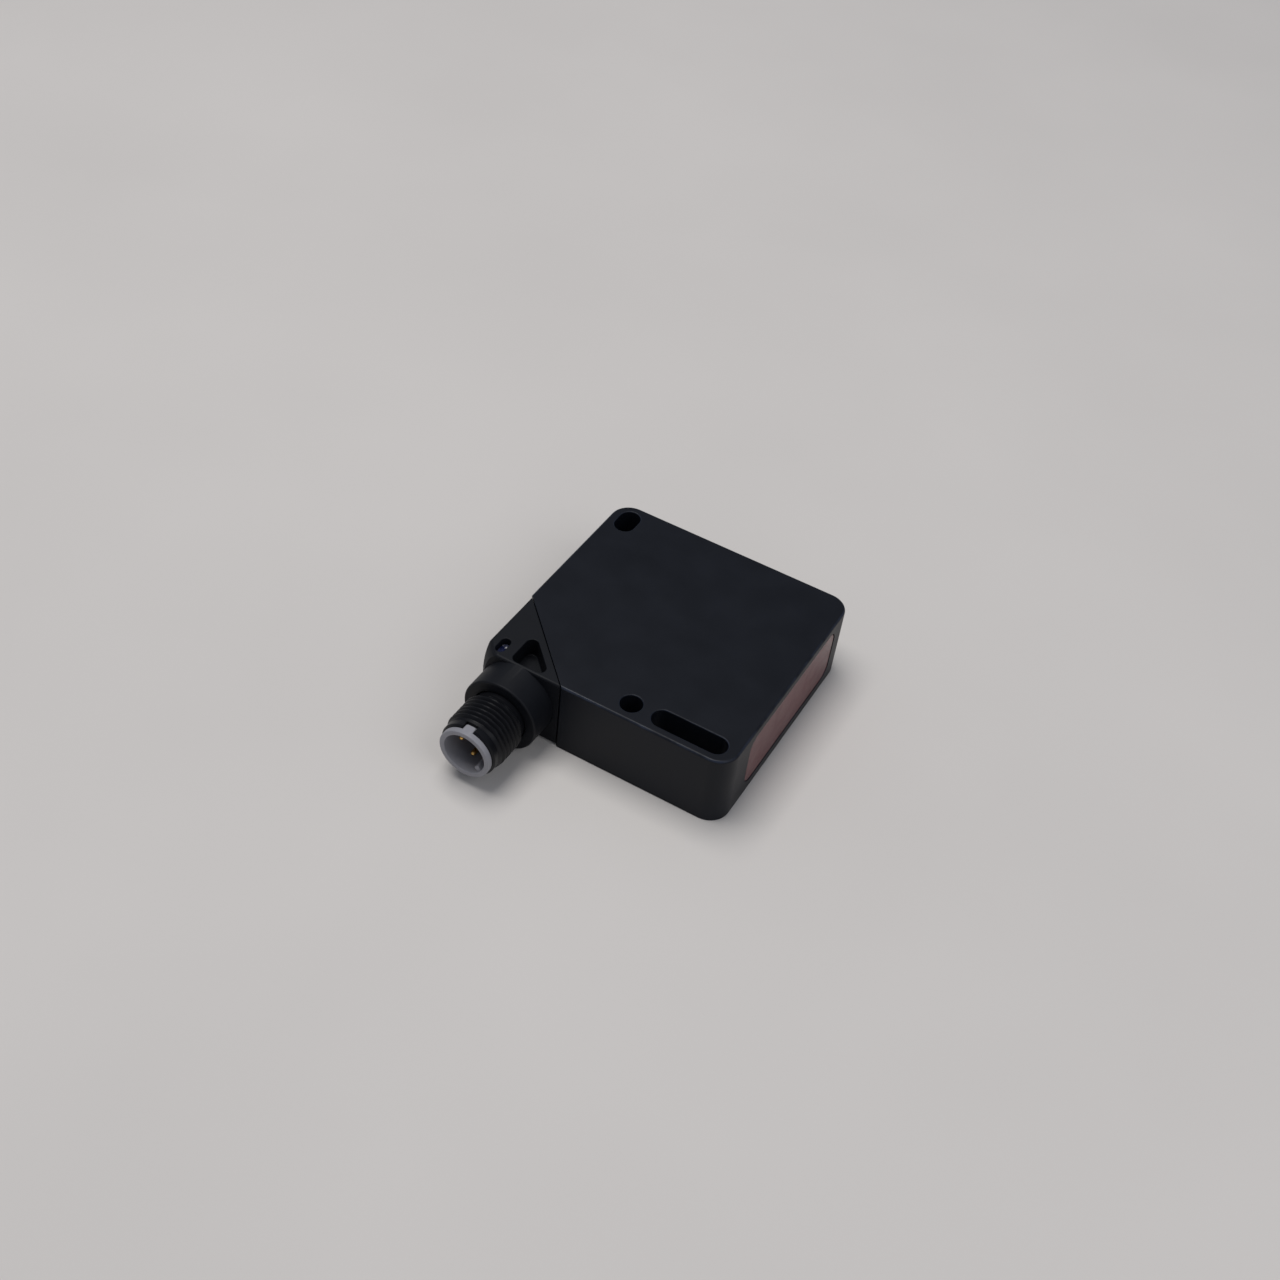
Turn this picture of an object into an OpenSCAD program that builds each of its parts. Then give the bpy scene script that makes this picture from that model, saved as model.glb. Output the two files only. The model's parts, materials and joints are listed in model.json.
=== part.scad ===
// Flat square photoelectric sensor with a swivelling round-plug elbow.
// Body coordinates: X runs from the elbow side to the window face, Y from
// the plug side to the back, and Z up from the underside. Every module is
// drawn in them, and place() moves it so that the origin is the round
// mounting hole's axis at the underside.

/* [Body] */
// Length of the body, elbow side to window face
body_l = 50; // [47:0.5:60]
// Width of the body, plug side to back
body_w = 50; // [49.5:0.5:60]
// Thickness of the body
body_h = 15.4; // [15.4:0.1:18.5]
// Radius of the body's upright corners
corner_r = 4; // [3.8:0.1:5]
// Thickness of the side walls
wall_t = 1.8; // [1.6:0.05:2.2]
// Thickness of the top wall
top_t = 1.4; // [1.2:0.1:1.8]
// Thickness of the cover in the underside
cover_t = 1.4; // [1.1:0.1:1.8]
// Thickness of the gasket under the cover
gasket_t = 0.4; // [0.3:0.05:0.6]
// How far the side walls step back where the cover sits
step_in = 1.1; // [0.9:0.05:1.3]

/* [Mounting holes] */
// Bore of the round hole and width of both slots, for an M4 screw
hole_d = 4.1; // [3.4:0.1:4.9]
// Distance of the front hole and slot from the plug side
hole_edge = 3.7; // [3.7:0.05:4.2]
// Distance of the round hole from the elbow side
hole_x = 28.9; // [26:0.1:29]
// End to end length of the long front slot
long_slot_l = 14.6; // [8:0.1:14.6]
// Middle of the long front slot, from the elbow side
long_slot_x = 40.4; // [40:0.1:40.6]
// End to end length of the short slot in the back corner
short_slot_l = 6.2; // [5:0.1:6.4]
// Middle of the short slot, from the elbow side
short_slot_x = 3.8; // [3.8:0.05:4.2]
// Middle of the short slot, from the back
short_slot_back = 4.75; // [4.7:0.05:6]
// Wall of the tubes around the holes
tube_wall = 1.2; // [1:0.05:1.3]

/* [Window] */
// Width of the window's visible face
window_l = 34.5; // [28:0.5:34.5]
// Height of the window's visible face
window_h = 11.6; // [9:0.1:11.6]
// Corner radius of the window
window_r = 2.6; // [1:0.1:4]
// Near end of the window, from the plug side
window_y = 9.1; // [9:0.1:9.6]
// Thickness of the window's flange inside the wall
flange_t = 1.2; // [0.8:0.1:1.5]
// How far the flange reaches past the opening at both ends
flange_lip = 1.2; // [0.8:0.1:1.3]

/* [Optics] */
// Diameter of the emitter lens
emitter_lens_d = 8; // [6:0.1:9.6]
// Diameter of the receiver lens
receiver_lens_d = 10; // [8:0.1:10.4]
// Distance between the two lens axes
lens_pitch = 19.5; // [16:0.5:19.5]
// Emitter lens axis, from the near end of the window
emitter_y = 6.9; // [6.5:0.1:7.4]
// Depth of the block that holds the lenses
optics_l = 10.4; // [9:0.1:11]

/* [Electronics] */
// Thickness of both circuit boards
board_t = 1; // [0.8:0.1:1.2]
// Height of the main board's upper face
board_z = 5.4; // [5.2:0.1:5.6]
// Side of the main chip
chip_l = 7; // [5:0.5:8]
// Diameter of the board screws
board_screw_d = 2; // [1.8:0.1:2.5]

/* [Sensing range adjuster] */
// Diameter of the adjuster's slotted head
adjuster_d = 4.6; // [4:0.1:5.5]
// Adjuster axis, from the plug side
adjuster_y = 26; // [25:0.5:27]
// Diameter of the two light guides
guide_d = 2.5; // [2:0.1:3]

/* [Swivel] */
// Length of each leg that the seam cuts off the body's corner
seam_leg = 17; // [17:0.1:17.4]
// Thickness of the wall behind the seam
seam_wall = 2.4; // [2.2:0.1:2.8]
// Gap that shows between elbow and body
seam_gap = 0.15; // [0.1:0.05:0.3]
// Diameter of the elbow's hollow journal
journal_d = 9; // [8:0.1:10.8]
// Bore of the journal, for the leads
journal_bore = 5.2; // [4.2:0.1:5.6]
// Length of the journal past the seam
journal_l = 4.9; // [4.5:0.1:5.2]

/* [Elbow] */
// How far the elbow's faces lie inside the body's faces
elbow_inset = 0.2; // [0.15:0.05:0.3]
// Radius of the elbow's upright corner
elbow_corner_r = 0.8; // [0.5:0.1:5]
// Distance over which the far corner's shoulder slopes, from the top and the bottom face
shoulder_fall = 6; // [4:0.1:6]
// Diameter of the round collar
collar_d = 14.9; // [14:0.1:14.9]
// Length of the collar
collar_l = 5.7; // [5:0.1:7]
// Plug axis, from the elbow side
port_x = 8.1; // [8:0.05:8.2]
// Sharp leg length of the triangular pocket
pocket_leg = 8.3; // [6:0.1:8.3]
// Corner radius of the pocket
pocket_r = 1.2; // [0.8:0.1:1.4]
// Depth of the pocket
pocket_depth = 3.8; // [2:0.1:3.8]
// Length of the small filling slot
fill_slot_l = 3.6; // [3:0.1:4]
// Width of the small filling slot
fill_slot_w = 1.8; // [1.4:0.1:2]

/* [Round plug] */
// Crest diameter of the outside thread
thread_d = 11.9; // [11.6:0.05:12]
// Depth of the thread
thread_depth = 0.55; // [0.4:0.05:0.6]
// Pitch of the thread
thread_pitch = 1; // [0.8:0.1:1]
// Number of thread ridges
thread_turns = 7; // [5:1:7]
// Length of the barrel past the collar's root
barrel_l = 15.5; // [15.5:0.1:18]
// Outer diameter of the grey carrier's nose
nose_d = 10.2; // [10:0.1:10.3]
// How far the nose stands out of the barrel
nose_l = 1.15; // [0.8:0.05:1.6]
// Inside diameter of the carrier's cavity
cavity_d = 8.2; // [8:0.05:8.4]
// Diameter of the contact pins
pin_d = 1; // [0.8:0.05:1.1]
// Diameter of the circle that the pins stand on
pin_circle = 5; // [4.6:0.1:5]
// How far the pin tips lie behind the nose
pin_recess = 2.65; // [1:0.05:4]
// Width of the coding rib
key_w = 1; // [0.8:0.05:1.2]
// Width of the carrier's locating tab
tab_w = 2; // [1.6:0.1:2.2]

/* [Clearances] */
// Gap between pieces that slide together and stay
fit_gap = 0.05; // [0.02:0.01:0.08]
// Radial gap of the turning fits
turn_gap = 0.05; // [0.02:0.01:0.08]

/* [Hidden] */

$fn = 64;
eps = 0.5;                                  // overshoot of cuts through a face

mid_z = body_h / 2;
ceiling_z = body_h - top_t;
floor_z = cover_t + gasket_t;               // where the inside begins
step_seam = seam_wall - (wall_t - step_in); // the seam wall's step for the cover
short_slot_y = body_w - short_slot_back;

// Window and optics, along X
inner_x = body_l - wall_t;
window_proud = 0.1;                         // the window's face lies this far inside
window_gasket_t = 0.3;
flange_x = inner_x - window_gasket_t;
optics_x = flange_x - flange_t;             // front of the lens block
optics_back = optics_x - optics_l;
optics_board_x = optics_back - board_t;
window_z = mid_z - window_h / 2 + 0.1;
flange_y0 = window_y - flange_lip;
flange_y1 = window_y + window_l + flange_lip;
flange_z0 = floor_z + fit_gap;
flange_z1 = ceiling_z - fit_gap;
optics_y0 = window_y + 0.5;
optics_y1 = window_y + window_l - 0.5;
optics_z0 = floor_z + 0.5;
optics_z1 = ceiling_z - fit_gap;
emitter_axis = window_y + emitter_y;
receiver_axis = emitter_axis + lens_pitch;
lens_edge_t = 1.6;                          // thickness at a lens's rim
lens_seat = 2.4;                            // depth of a lens's seat
lens_lip = 0.6;                             // how far the seat's shoulder reaches in

// Main board outline
board_x0 = 5.6;
board_x1 = optics_board_x - 3.6;
board_y0 = 10;
board_y1 = short_slot_y - short_slot_l / 2 - tube_wall - 0.6;
board_chamfer = 26;                         // x + y along the board's cut corner
board_r = 0.6;
post_r = 2.2;
post_xy = [[board_x1 - 2.8, board_y0 + 3.2], [board_x1 - 2.8, board_y1 - 3.2]];
pilot_depth = 6;
screw_head_t = 1.2;

// Adjuster, along X from the elbow side
adjuster_hole_r = adjuster_d / 2 + turn_gap;
adjuster_recess = 0.4;
adjuster_head_l = 1.1;
adjuster_groove_l = 1;
adjuster_bore_l = 3.4;
adjuster_stem_r = 1.2;
adjuster_boss_r = adjuster_hole_r + 1.1;
adjuster_boss_l = 4.6;
adjuster_wire_r = 0.36;                     // half the sealing ring's thickness
trimmer_x = 6.2;
trimmer_l = 3.4;
trimmer_w = 6.6;
trimmer_z1 = 2 * mid_z - board_z;
rotor_r = 1.9;
blade_w = 2;
blade_t = 0.6;
guide_z = board_z + guide_d / 2 + fit_gap;
guide_y = [adjuster_y + 6.2, adjuster_y + 10.4];
guide_l = 6.3;
led_l = 1.6;

// Swivel, along its axis from the seam
journal_r = journal_d / 2;
ring_groove_r = journal_r - 0.95;
ring_wire_r = 0.46;
ring_groove_s = 0.6;
ring_groove_l = 1.1;
clip_s = seam_wall + 0.08;                  // running gap behind the wall
clip_t = 0.6;
clip_groove_r = journal_r - 0.7;
clip_r = ceiling_z - mid_z - 0.7;           // outside of the clip, clear of the top wall

// Elbow
elbow_z0 = elbow_inset;
elbow_z1 = body_h - elbow_inset;
collar_root = 0.5;                          // how far the collar reaches into the wedge
passage_r = 3.1;                            // way for the leads behind the plug
pocket_x = 5.8;
pocket_y = 0.85;
fill_x = 2.85;
fill_y = 3.1;
fill_depth = 3.4;
fill_level = 1.5;                           // resin surface below the elbow's top

// Plug, along its axis from the body's front face
barrel_start = 1;
barrel_r = 5.2;                             // plain stretch inside the collar
barrel_bore = nose_d / 2 - 0.45;
root_r = thread_d / 2 - thread_depth;
relief_l = 1.1;                             // plain groove behind the thread
thread_start = collar_l + relief_l;
crest_w = 0.2;
lead_r = root_r + 0.1;                      // plain stretch at the mouth
nose_end = barrel_l + nose_l;
nose_r = nose_d / 2;
tube_in_r = barrel_bore - fit_gap;          // carrier inside the barrel
carrier_start = 3.4;
carrier_floor = 6.6;
tab_l = 1.25;
tab_r = 0.45;
key_angle = -45;
key_reach = 1;
key_recess = 0.5;
pin_tip = nose_end - pin_recess;
cup_r = 0.7;
cup_l = 1.4;
cup_end = 2;

// Leads
lead_wire_r = 0.4;
lead_sides = 12;
lead_circle = 1.1;                          // leads lie this far off the swivel axis
lead_meet = journal_l + 0.25;               // inner and outer leads meet here
socket_s = 8;
socket_l = 3.4;
socket_w = 7;

// ---- frames --------------------------------------------------------------

module place() {
    translate([-hole_x, -hole_edge, 0]) children();
}

// Local Z runs along the swivel axis into the body, from the seam
module on_swivel() {
    translate([seam_leg / 2, seam_leg / 2, mid_z]) rotate([0, 90, 45]) children();
}

// Local Z runs out along the plug, and local Y is up
module on_port() {
    translate([port_x, 0, mid_z]) rotate([90, 0, 0]) children();
}

// Local Z runs along X, local X is Y and local Y is Z
module along_x(x, y = 0, z = 0) {
    translate([x, y, z]) rotate([90, 0, 90]) children();
}

// ---- outlines ------------------------------------------------------------

module rounded_rect(x0, y0, x1, y1, r) {
    translate([x0 + r, y0]) square([x1 - x0 - 2 * r, y1 - y0]);
    translate([x0, y0 + r]) square([x1 - x0, y1 - y0 - 2 * r]);
    for (x = [x0 + r, x1 - r], y = [y0 + r, y1 - r])
        translate([x, y]) circle(r = r);
}

// A slot of end to end length l, with its middle at the origin, along X
module slot(l, d) {
    translate([-(l - d) / 2, -d / 2]) square([l - d, d]);
    for (side = [-1, 1])
        translate([side * (l - d) / 2, 0]) circle(d = d);
}

// Everything on the elbow's side of a line s behind the seam
module elbow_side(s) {
    reach = seam_leg + s * sqrt(2);
    over = 2;
    polygon([[-over, -over], [reach + over, -over], [-over, reach + over]]);
}

// The body's outline, moved in by inset and held s behind the seam
module body_plan(inset, s) {
    difference() {
        rounded_rect(inset, inset, body_l - inset, body_w - inset, max(corner_r - inset, 0.6));
        elbow_side(s);
    }
}

// The three mounting holes, each grown by grow
module mounting_holes(grow) {
    d = hole_d + 2 * grow;
    translate([hole_x, hole_edge]) circle(d = d);
    translate([long_slot_x, hole_edge]) slot(long_slot_l + 2 * grow, d);
    translate([short_slot_x, short_slot_y]) rotate(90) slot(short_slot_l + 2 * grow, d);
}

// The tubes around the holes, grown by grow, and the web between the two front ones
module tubes(grow) {
    mounting_holes(tube_wall + grow);
    translate([hole_x, 0]) square([long_slot_x - hole_x, hole_edge]);
}

module board_plan() {
    difference() {
        rounded_rect(board_x0, board_y0, board_x1, board_y1, board_r);
        polygon([[0, 0], [board_chamfer, 0], [0, board_chamfer]]);
    }
}

// ---- housing -------------------------------------------------------------

module housing_shell() {
    color("#1d2024") place() difference() {
        union() {
            difference() {
                linear_extrude(body_h) body_plan(0, 0);
                translate([0, 0, -eps]) linear_extrude(floor_z + eps) difference() {
                    body_plan(step_in, step_seam);
                    tubes(0);
                }
                linear_extrude(ceiling_z) difference() {
                    body_plan(wall_t, seam_wall);
                    tubes(0);
                }
            }
            for (p = post_xy)
                translate([p[0], p[1], board_z + fit_gap])
                    cylinder(r = post_r, h = ceiling_z + eps - board_z);
            translate([wall_t - eps, adjuster_y, mid_z]) rotate([0, 90, 0])
                cylinder(r = adjuster_boss_r, h = adjuster_boss_l - wall_t + eps);
        }
        translate([0, 0, -eps]) linear_extrude(body_h + 2 * eps) mounting_holes(0);
        for (p = post_xy)
            translate([p[0], p[1], board_z - eps])
                cylinder(d = board_screw_d + 2 * fit_gap, h = pilot_depth + eps);
        on_swivel() translate([0, 0, -eps])
            cylinder(r = journal_r + turn_gap, h = seam_wall + 2 * eps);
        along_x(inner_x - eps) linear_extrude(wall_t + 2 * eps)
            rounded_rect(window_y, window_z, window_y + window_l, window_z + window_h, window_r);
        translate([-eps, adjuster_y, mid_z]) rotate([0, 90, 0]) {
            cylinder(r = adjuster_hole_r, h = adjuster_bore_l + eps);
            cylinder(r = adjuster_stem_r + turn_gap, h = adjuster_boss_l + 2 * eps);
        }
        for (y = guide_y)
            translate([-eps, y, guide_z]) rotate([0, 90, 0])
                cylinder(d = guide_d + 2 * fit_gap, h = wall_t + 2 * eps);
    }
}

module base_cover() {
    recess_t = 0.3;
    margin = 6;
    color("#1a1c20") place() difference() {
        linear_extrude(cover_t) difference() {
            body_plan(step_in + fit_gap, step_seam + fit_gap);
            tubes(fit_gap);
        }
        translate([0, 0, -eps]) linear_extrude(recess_t + eps)
            rounded_rect(4 * margin, 2 * margin, body_l - margin, body_w - margin, 2);
    }
}

module cover_gasket() {
    band = 1.3;
    color("#3a3a3a") place() translate([0, 0, cover_t]) linear_extrude(gasket_t) difference() {
        body_plan(step_in + fit_gap, step_seam + fit_gap);
        difference() {
            body_plan(step_in + band, step_seam + band);
            tubes(band);
        }
        tubes(fit_gap);
    }
}

// ---- window and optics ---------------------------------------------------

module front_window() {
    r = window_r - fit_gap;
    color("#7a2f30") place() {
        along_x(optics_x) linear_extrude(flange_t)
            rounded_rect(flange_y0, flange_z0, flange_y1, flange_z1, 0.8);
        along_x(flange_x) linear_extrude(body_l - window_proud - flange_x)
            rounded_rect(window_y + fit_gap, window_z + fit_gap,
                window_y + window_l - fit_gap, window_z + window_h - fit_gap, r);
    }
}

module window_gasket() {
    color("#303030") place() along_x(flange_x) linear_extrude(window_gasket_t) difference() {
        rounded_rect(flange_y0, flange_z0, flange_y1, flange_z1, 0.8);
        rounded_rect(window_y, window_z, window_y + window_l, window_z + window_h, window_r);
    }
}

// A lens's seat and the narrower tunnel behind it
module lens_hole(y, d) {
    translate([optics_x + eps, y, mid_z]) rotate([0, -90, 0]) {
        cylinder(r = d / 2 + fit_gap, h = lens_seat + eps);
        cylinder(r = d / 2 - lens_lip, h = optics_l + 2 * eps);
    }
}

module optics_block() {
    color("#141414") place() difference() {
        translate([optics_back, optics_y0, optics_z0])
            cube([optics_l - fit_gap, optics_y1 - optics_y0, optics_z1 - optics_z0]);
        lens_hole(emitter_axis, emitter_lens_d);
        lens_hole(receiver_axis, receiver_lens_d);
    }
}

// Flat face on the seat's shoulder, domed face towards the window
module lens(y, d) {
    dome = 0.75;
    ball_r = (d * d / 4 + dome * dome) / (2 * dome);
    color("#e8eef2") place() translate([optics_x - lens_seat, y, mid_z]) rotate([0, 90, 0])
        intersection() {
            cylinder(d = d, h = lens_edge_t + dome);
            translate([0, 0, lens_edge_t + dome - ball_r]) sphere(r = ball_r);
        }
}

module emitter_lens() { lens(emitter_axis, emitter_lens_d); }

module receiver_lens() { lens(receiver_axis, receiver_lens_d); }

module receiver_filter() {
    x = optics_board_x + board_t + 2.2;
    color("#3b1420") place() translate([x, receiver_axis, mid_z]) rotate([0, 90, 0])
        cylinder(r = receiver_lens_d / 2 - lens_lip - fit_gap, h = 0.5);
}

module optics_board() {
    color("#1f6b45") place() translate([optics_board_x, optics_y0 + 0.4, optics_z0 + 0.3])
        cube([board_t, optics_y1 - optics_y0 - 0.8, optics_z1 - optics_z0 - 0.8]);
}

module emitter_led() {
    x = optics_board_x + board_t;
    color("#d9d9d9") place() translate([x, emitter_axis, mid_z]) rotate([0, 90, 0]) {
        translate([-1.6, -1.6, 0]) cube([3.2, 3.2, 1]);
        translate([0, 0, 1]) cylinder(r = 1.2, h = 0.5);
    }
}

module receiver_array() {
    x = optics_board_x + board_t;
    color("#20222a") place() translate([x, receiver_axis - 2.5, mid_z - 1.75])
        cube([1.1, 5, 3.5]);
}

// ---- electronics ---------------------------------------------------------

module main_board() {
    color("#1f6b45") place() translate([0, 0, board_z - board_t]) difference() {
        linear_extrude(board_t) board_plan();
        for (p = post_xy)
            translate([p[0], p[1], -eps])
                cylinder(d = board_screw_d + 4 * fit_gap, h = board_t + 2 * eps);
    }
}

module board_screws() {
    shank = board_t + pilot_depth - eps;
    drive_d = 1.1;
    color("#b9bcc0") place() for (p = post_xy)
        translate([p[0], p[1], board_z - board_t]) difference() {
            union() {
                translate([0, 0, -screw_head_t]) cylinder(r = board_screw_d * 0.9, h = screw_head_t);
                cylinder(d = board_screw_d, h = shank);
            }
            translate([0, 0, -screw_head_t - eps]) cylinder(d = drive_d, h = eps + 0.7, $fn = 6);
        }
}

// Pins from the main board to the optics board, through a plastic bar
module board_link() {
    count = 6;
    pitch = 1.27;
    y0 = (board_y0 + board_y1) / 2 - pitch * (count - 1) / 2;
    x0 = board_x1 - 2.4;
    color("#24262a") place() {
        translate([x0, y0 - 1, board_z]) cube([2, pitch * (count - 1) + 2, 2.2]);
        for (i = [0 : count - 1])
            translate([x0 + 1.5, y0 + i * pitch - 0.2, board_z + 0.9])
                cube([optics_board_x - x0 - 1.5, 0.4, 0.4]);
    }
}

// A chip with a row of legs along both sides
module chip(x, y, l, w, h, legs) {
    pitch = (l - 1) / (legs - 1);
    translate([x - l / 2, y - w / 2, board_z + 0.1]) cube([l, w, h]);
    for (i = [0 : legs - 1], side = [-1, 1])
        translate([x - l / 2 + 0.5 + i * pitch - 0.13, y + side * (w / 2 + 0.3) - 0.45, board_z])
            cube([0.26, 0.9, 0.35]);
}

module controller_chip() {
    color("#15161a") place() chip(22, 24.5, chip_l, chip_l, 1, 8);
}

module driver_chip() {
    color("#15161a") place() chip(14, 33.4, 5, 3.9, 1.4, 4);
}

module regulator_chip() {
    color("#15161a") place() chip(15.5, 26, 3, 1.7, 1.1, 3);
}

module supply_capacitors() {
    color("#b58a4a") place() for (i = [0 : 2])
        translate([10.2 + i * 2.6, 37.4, board_z]) cube([1.6, 2, 1.4]);
}

module receiver_shield() {
    l = 8.8;
    w = 5.4;
    h = 2.6;
    t = 0.25;
    color("#c9ccd0") place() translate([17.2, 31.4, board_z]) difference() {
        cube([l, w, h]);
        translate([t, t, -eps]) cube([l - 2 * t, w - 2 * t, h - t + eps]);
    }
}

module indicator_leds() {
    color("#e7e6df") place() for (y = guide_y)
        translate([guide_l + 0.2, y - 1, board_z]) cube([led_l, 2, 2.4]);
}

// ---- sensing range adjuster ----------------------------------------------

module light_guide(y) {
    color("#dfe6ea") place() translate([window_proud, y, guide_z]) rotate([0, 90, 0])
        cylinder(d = guide_d, h = guide_l - window_proud);
}

module power_light_guide() { light_guide(guide_y[0]); }

module output_light_guide() { light_guide(guide_y[1]); }

module adjuster_screw() {
    neck_r = adjuster_d / 2 - 0.75;
    land_end = adjuster_bore_l - 0.15;
    groove_start = adjuster_recess + adjuster_head_l;
    stem_end = trimmer_x + 0.3;
    color("#c8cbd0") place() translate([0, adjuster_y, mid_z]) rotate([0, 90, 0]) difference() {
        union() {
            translate([0, 0, adjuster_recess]) cylinder(d = adjuster_d, h = adjuster_head_l);
            translate([0, 0, groove_start]) cylinder(r = neck_r, h = adjuster_groove_l);
            translate([0, 0, groove_start + adjuster_groove_l])
                cylinder(d = adjuster_d, h = land_end - groove_start - adjuster_groove_l);
            translate([0, 0, land_end]) cylinder(r = adjuster_stem_r, h = stem_end - land_end);
            translate([-blade_t / 2, -blade_w / 2, stem_end]) cube([blade_t, blade_w, 0.8]);
        }
        translate([-adjuster_d, -0.35, adjuster_recess - eps]) cube([2 * adjuster_d, 0.7, eps + 0.7]);
    }
}

module adjuster_ring() {
    s = adjuster_recess + adjuster_head_l + adjuster_groove_l / 2;
    major = adjuster_d / 2 - adjuster_wire_r;
    color("#202020") place() translate([s, adjuster_y, mid_z]) rotate([0, 90, 0])
        rotate_extrude() translate([major, 0]) circle(r = adjuster_wire_r);
}

module trimmer_body() {
    color("#2c5fa8") place() difference() {
        translate([trimmer_x, adjuster_y - trimmer_w / 2, board_z])
            cube([trimmer_l, trimmer_w, trimmer_z1 - board_z]);
        translate([trimmer_x - eps, adjuster_y, mid_z]) rotate([0, 90, 0])
            cylinder(r = rotor_r + turn_gap, h = 2 + eps);
    }
}

module trimmer_rotor() {
    color("#e6e2d6") place() translate([trimmer_x + 0.4, adjuster_y, mid_z]) rotate([0, 90, 0])
        difference() {
            cylinder(r = rotor_r, h = 1.5);
            translate([-(blade_t + 0.1) / 2, -(blade_w + 0.2) / 2, -eps])
                cube([blade_t + 0.1, blade_w + 0.2, eps + 0.9]);
        }
}

// ---- leads ---------------------------------------------------------------

// Offset of lead i from the swivel axis and the plug axis
function lead_at(i) = [cos(90 * i) * lead_circle, sin(90 * i) * lead_circle];

// Where lead i turns from the plug axis to the swivel axis
function lead_turn(i) = [
    port_x + lead_at(i)[0],
    port_x - lead_at(i)[0] * tan(22.5),
    mid_z + lead_at(i)[1]
];

// A point of lead i at distance s along the swivel axis
function lead_point(i, s) = [
    seam_leg / 2 + (s + lead_at(i)[0]) / sqrt(2),
    seam_leg / 2 + (s - lead_at(i)[0]) / sqrt(2),
    mid_z + lead_at(i)[1]
];

// A straight piece of wire from a to b, and on past b by lap
function unit(v) = v / norm(v);

// Direction of the wire at point i: at a bend, halfway between its two stretches
function heading(points, i) = unit(
    (i == 0 ? [0, 0, 0] : unit(points[i] - points[i - 1]))
    + (i == len(points) - 1 ? [0, 0, 0] : unit(points[i + 1] - points[i]))
);

// The rings of a mitred wire: each point of a ring runs along its stretch to the next mitre plane
function wire_rings(points, ring, i = 0) = i == len(points) - 1 ? ring : let (
    d = unit(points[i + 1] - points[i]),
    n = heading(points, i + 1),
    next = [for (q = ring) q + d * (((points[i + 1] - q) * n) / (d * n))]
) concat(ring, wire_rings(points, next, i + 1));

module wire(points) {
    d = heading(points, 0);
    u = unit(cross(d, [0, 0, 1]));
    v = cross(u, d);
    first = [for (k = [0 : lead_sides - 1])
        points[0] + lead_wire_r * (u * cos(360 * k / lead_sides) + v * sin(360 * k / lead_sides))];
    last = (len(points) - 1) * lead_sides;
    polyhedron(
        points = wire_rings(points, first),
        faces = concat(
            [[for (k = [0 : lead_sides - 1]) k]],
            [[for (k = [lead_sides - 1 : -1 : 0]) last + k]],
            [for (i = [0 : lead_sides : last - 1], k = [0 : lead_sides - 1]) let (next = (k + 1) % lead_sides)
                [i + k, i + lead_sides + k, i + lead_sides + next, i + next]]
        )
    );
}

module wire_socket() {
    color("#eceae2") place() on_swivel() difference() {
        translate([-(mid_z - board_z), -socket_w / 2, socket_s])
            cube([2 * (mid_z - board_z), socket_w, socket_l]);
        for (i = [0 : 3])
            rotate(90 * i) translate([lead_circle, 0, socket_s - eps])
                cylinder(r = lead_wire_r + fit_gap, h = eps + 1.6, $fn = 24);
    }
}

module inner_leads() {
    color("#8a5a2b") place() for (i = [0 : 3])
        wire([lead_point(i, lead_meet), lead_point(i, socket_s + 1.4)]);
}

module outer_leads() {
    gather = 4.5;
    color("#8a5a2b") place() for (i = [0 : 3]) {
        pin = [port_x + cos(90 * i) * pin_circle / 2, -cup_end, mid_z + sin(90 * i) * pin_circle / 2];
        straight = [pin[0], 0, pin[2]];
        near = [lead_turn(i)[0], gather, lead_turn(i)[2]];
        wire([pin, straight, near, lead_turn(i), lead_point(i, lead_meet - 0.25)]);
    }
}

// ---- elbow ---------------------------------------------------------------

// The triangular pocket: a right-angled triangle with rounded corners
module pocket_plan() {
    r = pocket_r;
    far = pocket_leg - r * (1 + sqrt(2));
    hull() {
        translate([pocket_x + r, pocket_y + r]) circle(r = r, $fn = 32);
        translate([pocket_x + far, pocket_y + r]) circle(r = r, $fn = 32);
        translate([pocket_x + r, pocket_y + far]) circle(r = r, $fn = 32);
    }
}

// Drum about an upright axis near the seam, which slopes only the elbow's far corner
module shoulder() {
    axis_at = 14;
    top_r = 16.9;
    bulge = 2.1;
    steps = 6;
    function rise(k) = top_r + bulge * sin(90 * k / steps);
    function drop(k) = shoulder_fall * (1 - cos(90 * k / steps));
    translate([axis_at, axis_at, 0]) rotate_extrude() polygon(concat(
        [[0, elbow_z0 - eps], [top_r, elbow_z0 - eps]],
        [for (k = [0 : steps]) [rise(k), elbow_z0 + drop(k)]],
        [for (k = [0 : steps]) [rise(steps - k), elbow_z1 - drop(steps - k)]],
        [[top_r, elbow_z1 + eps], [0, elbow_z1 + eps]]
    ));
}

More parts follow.
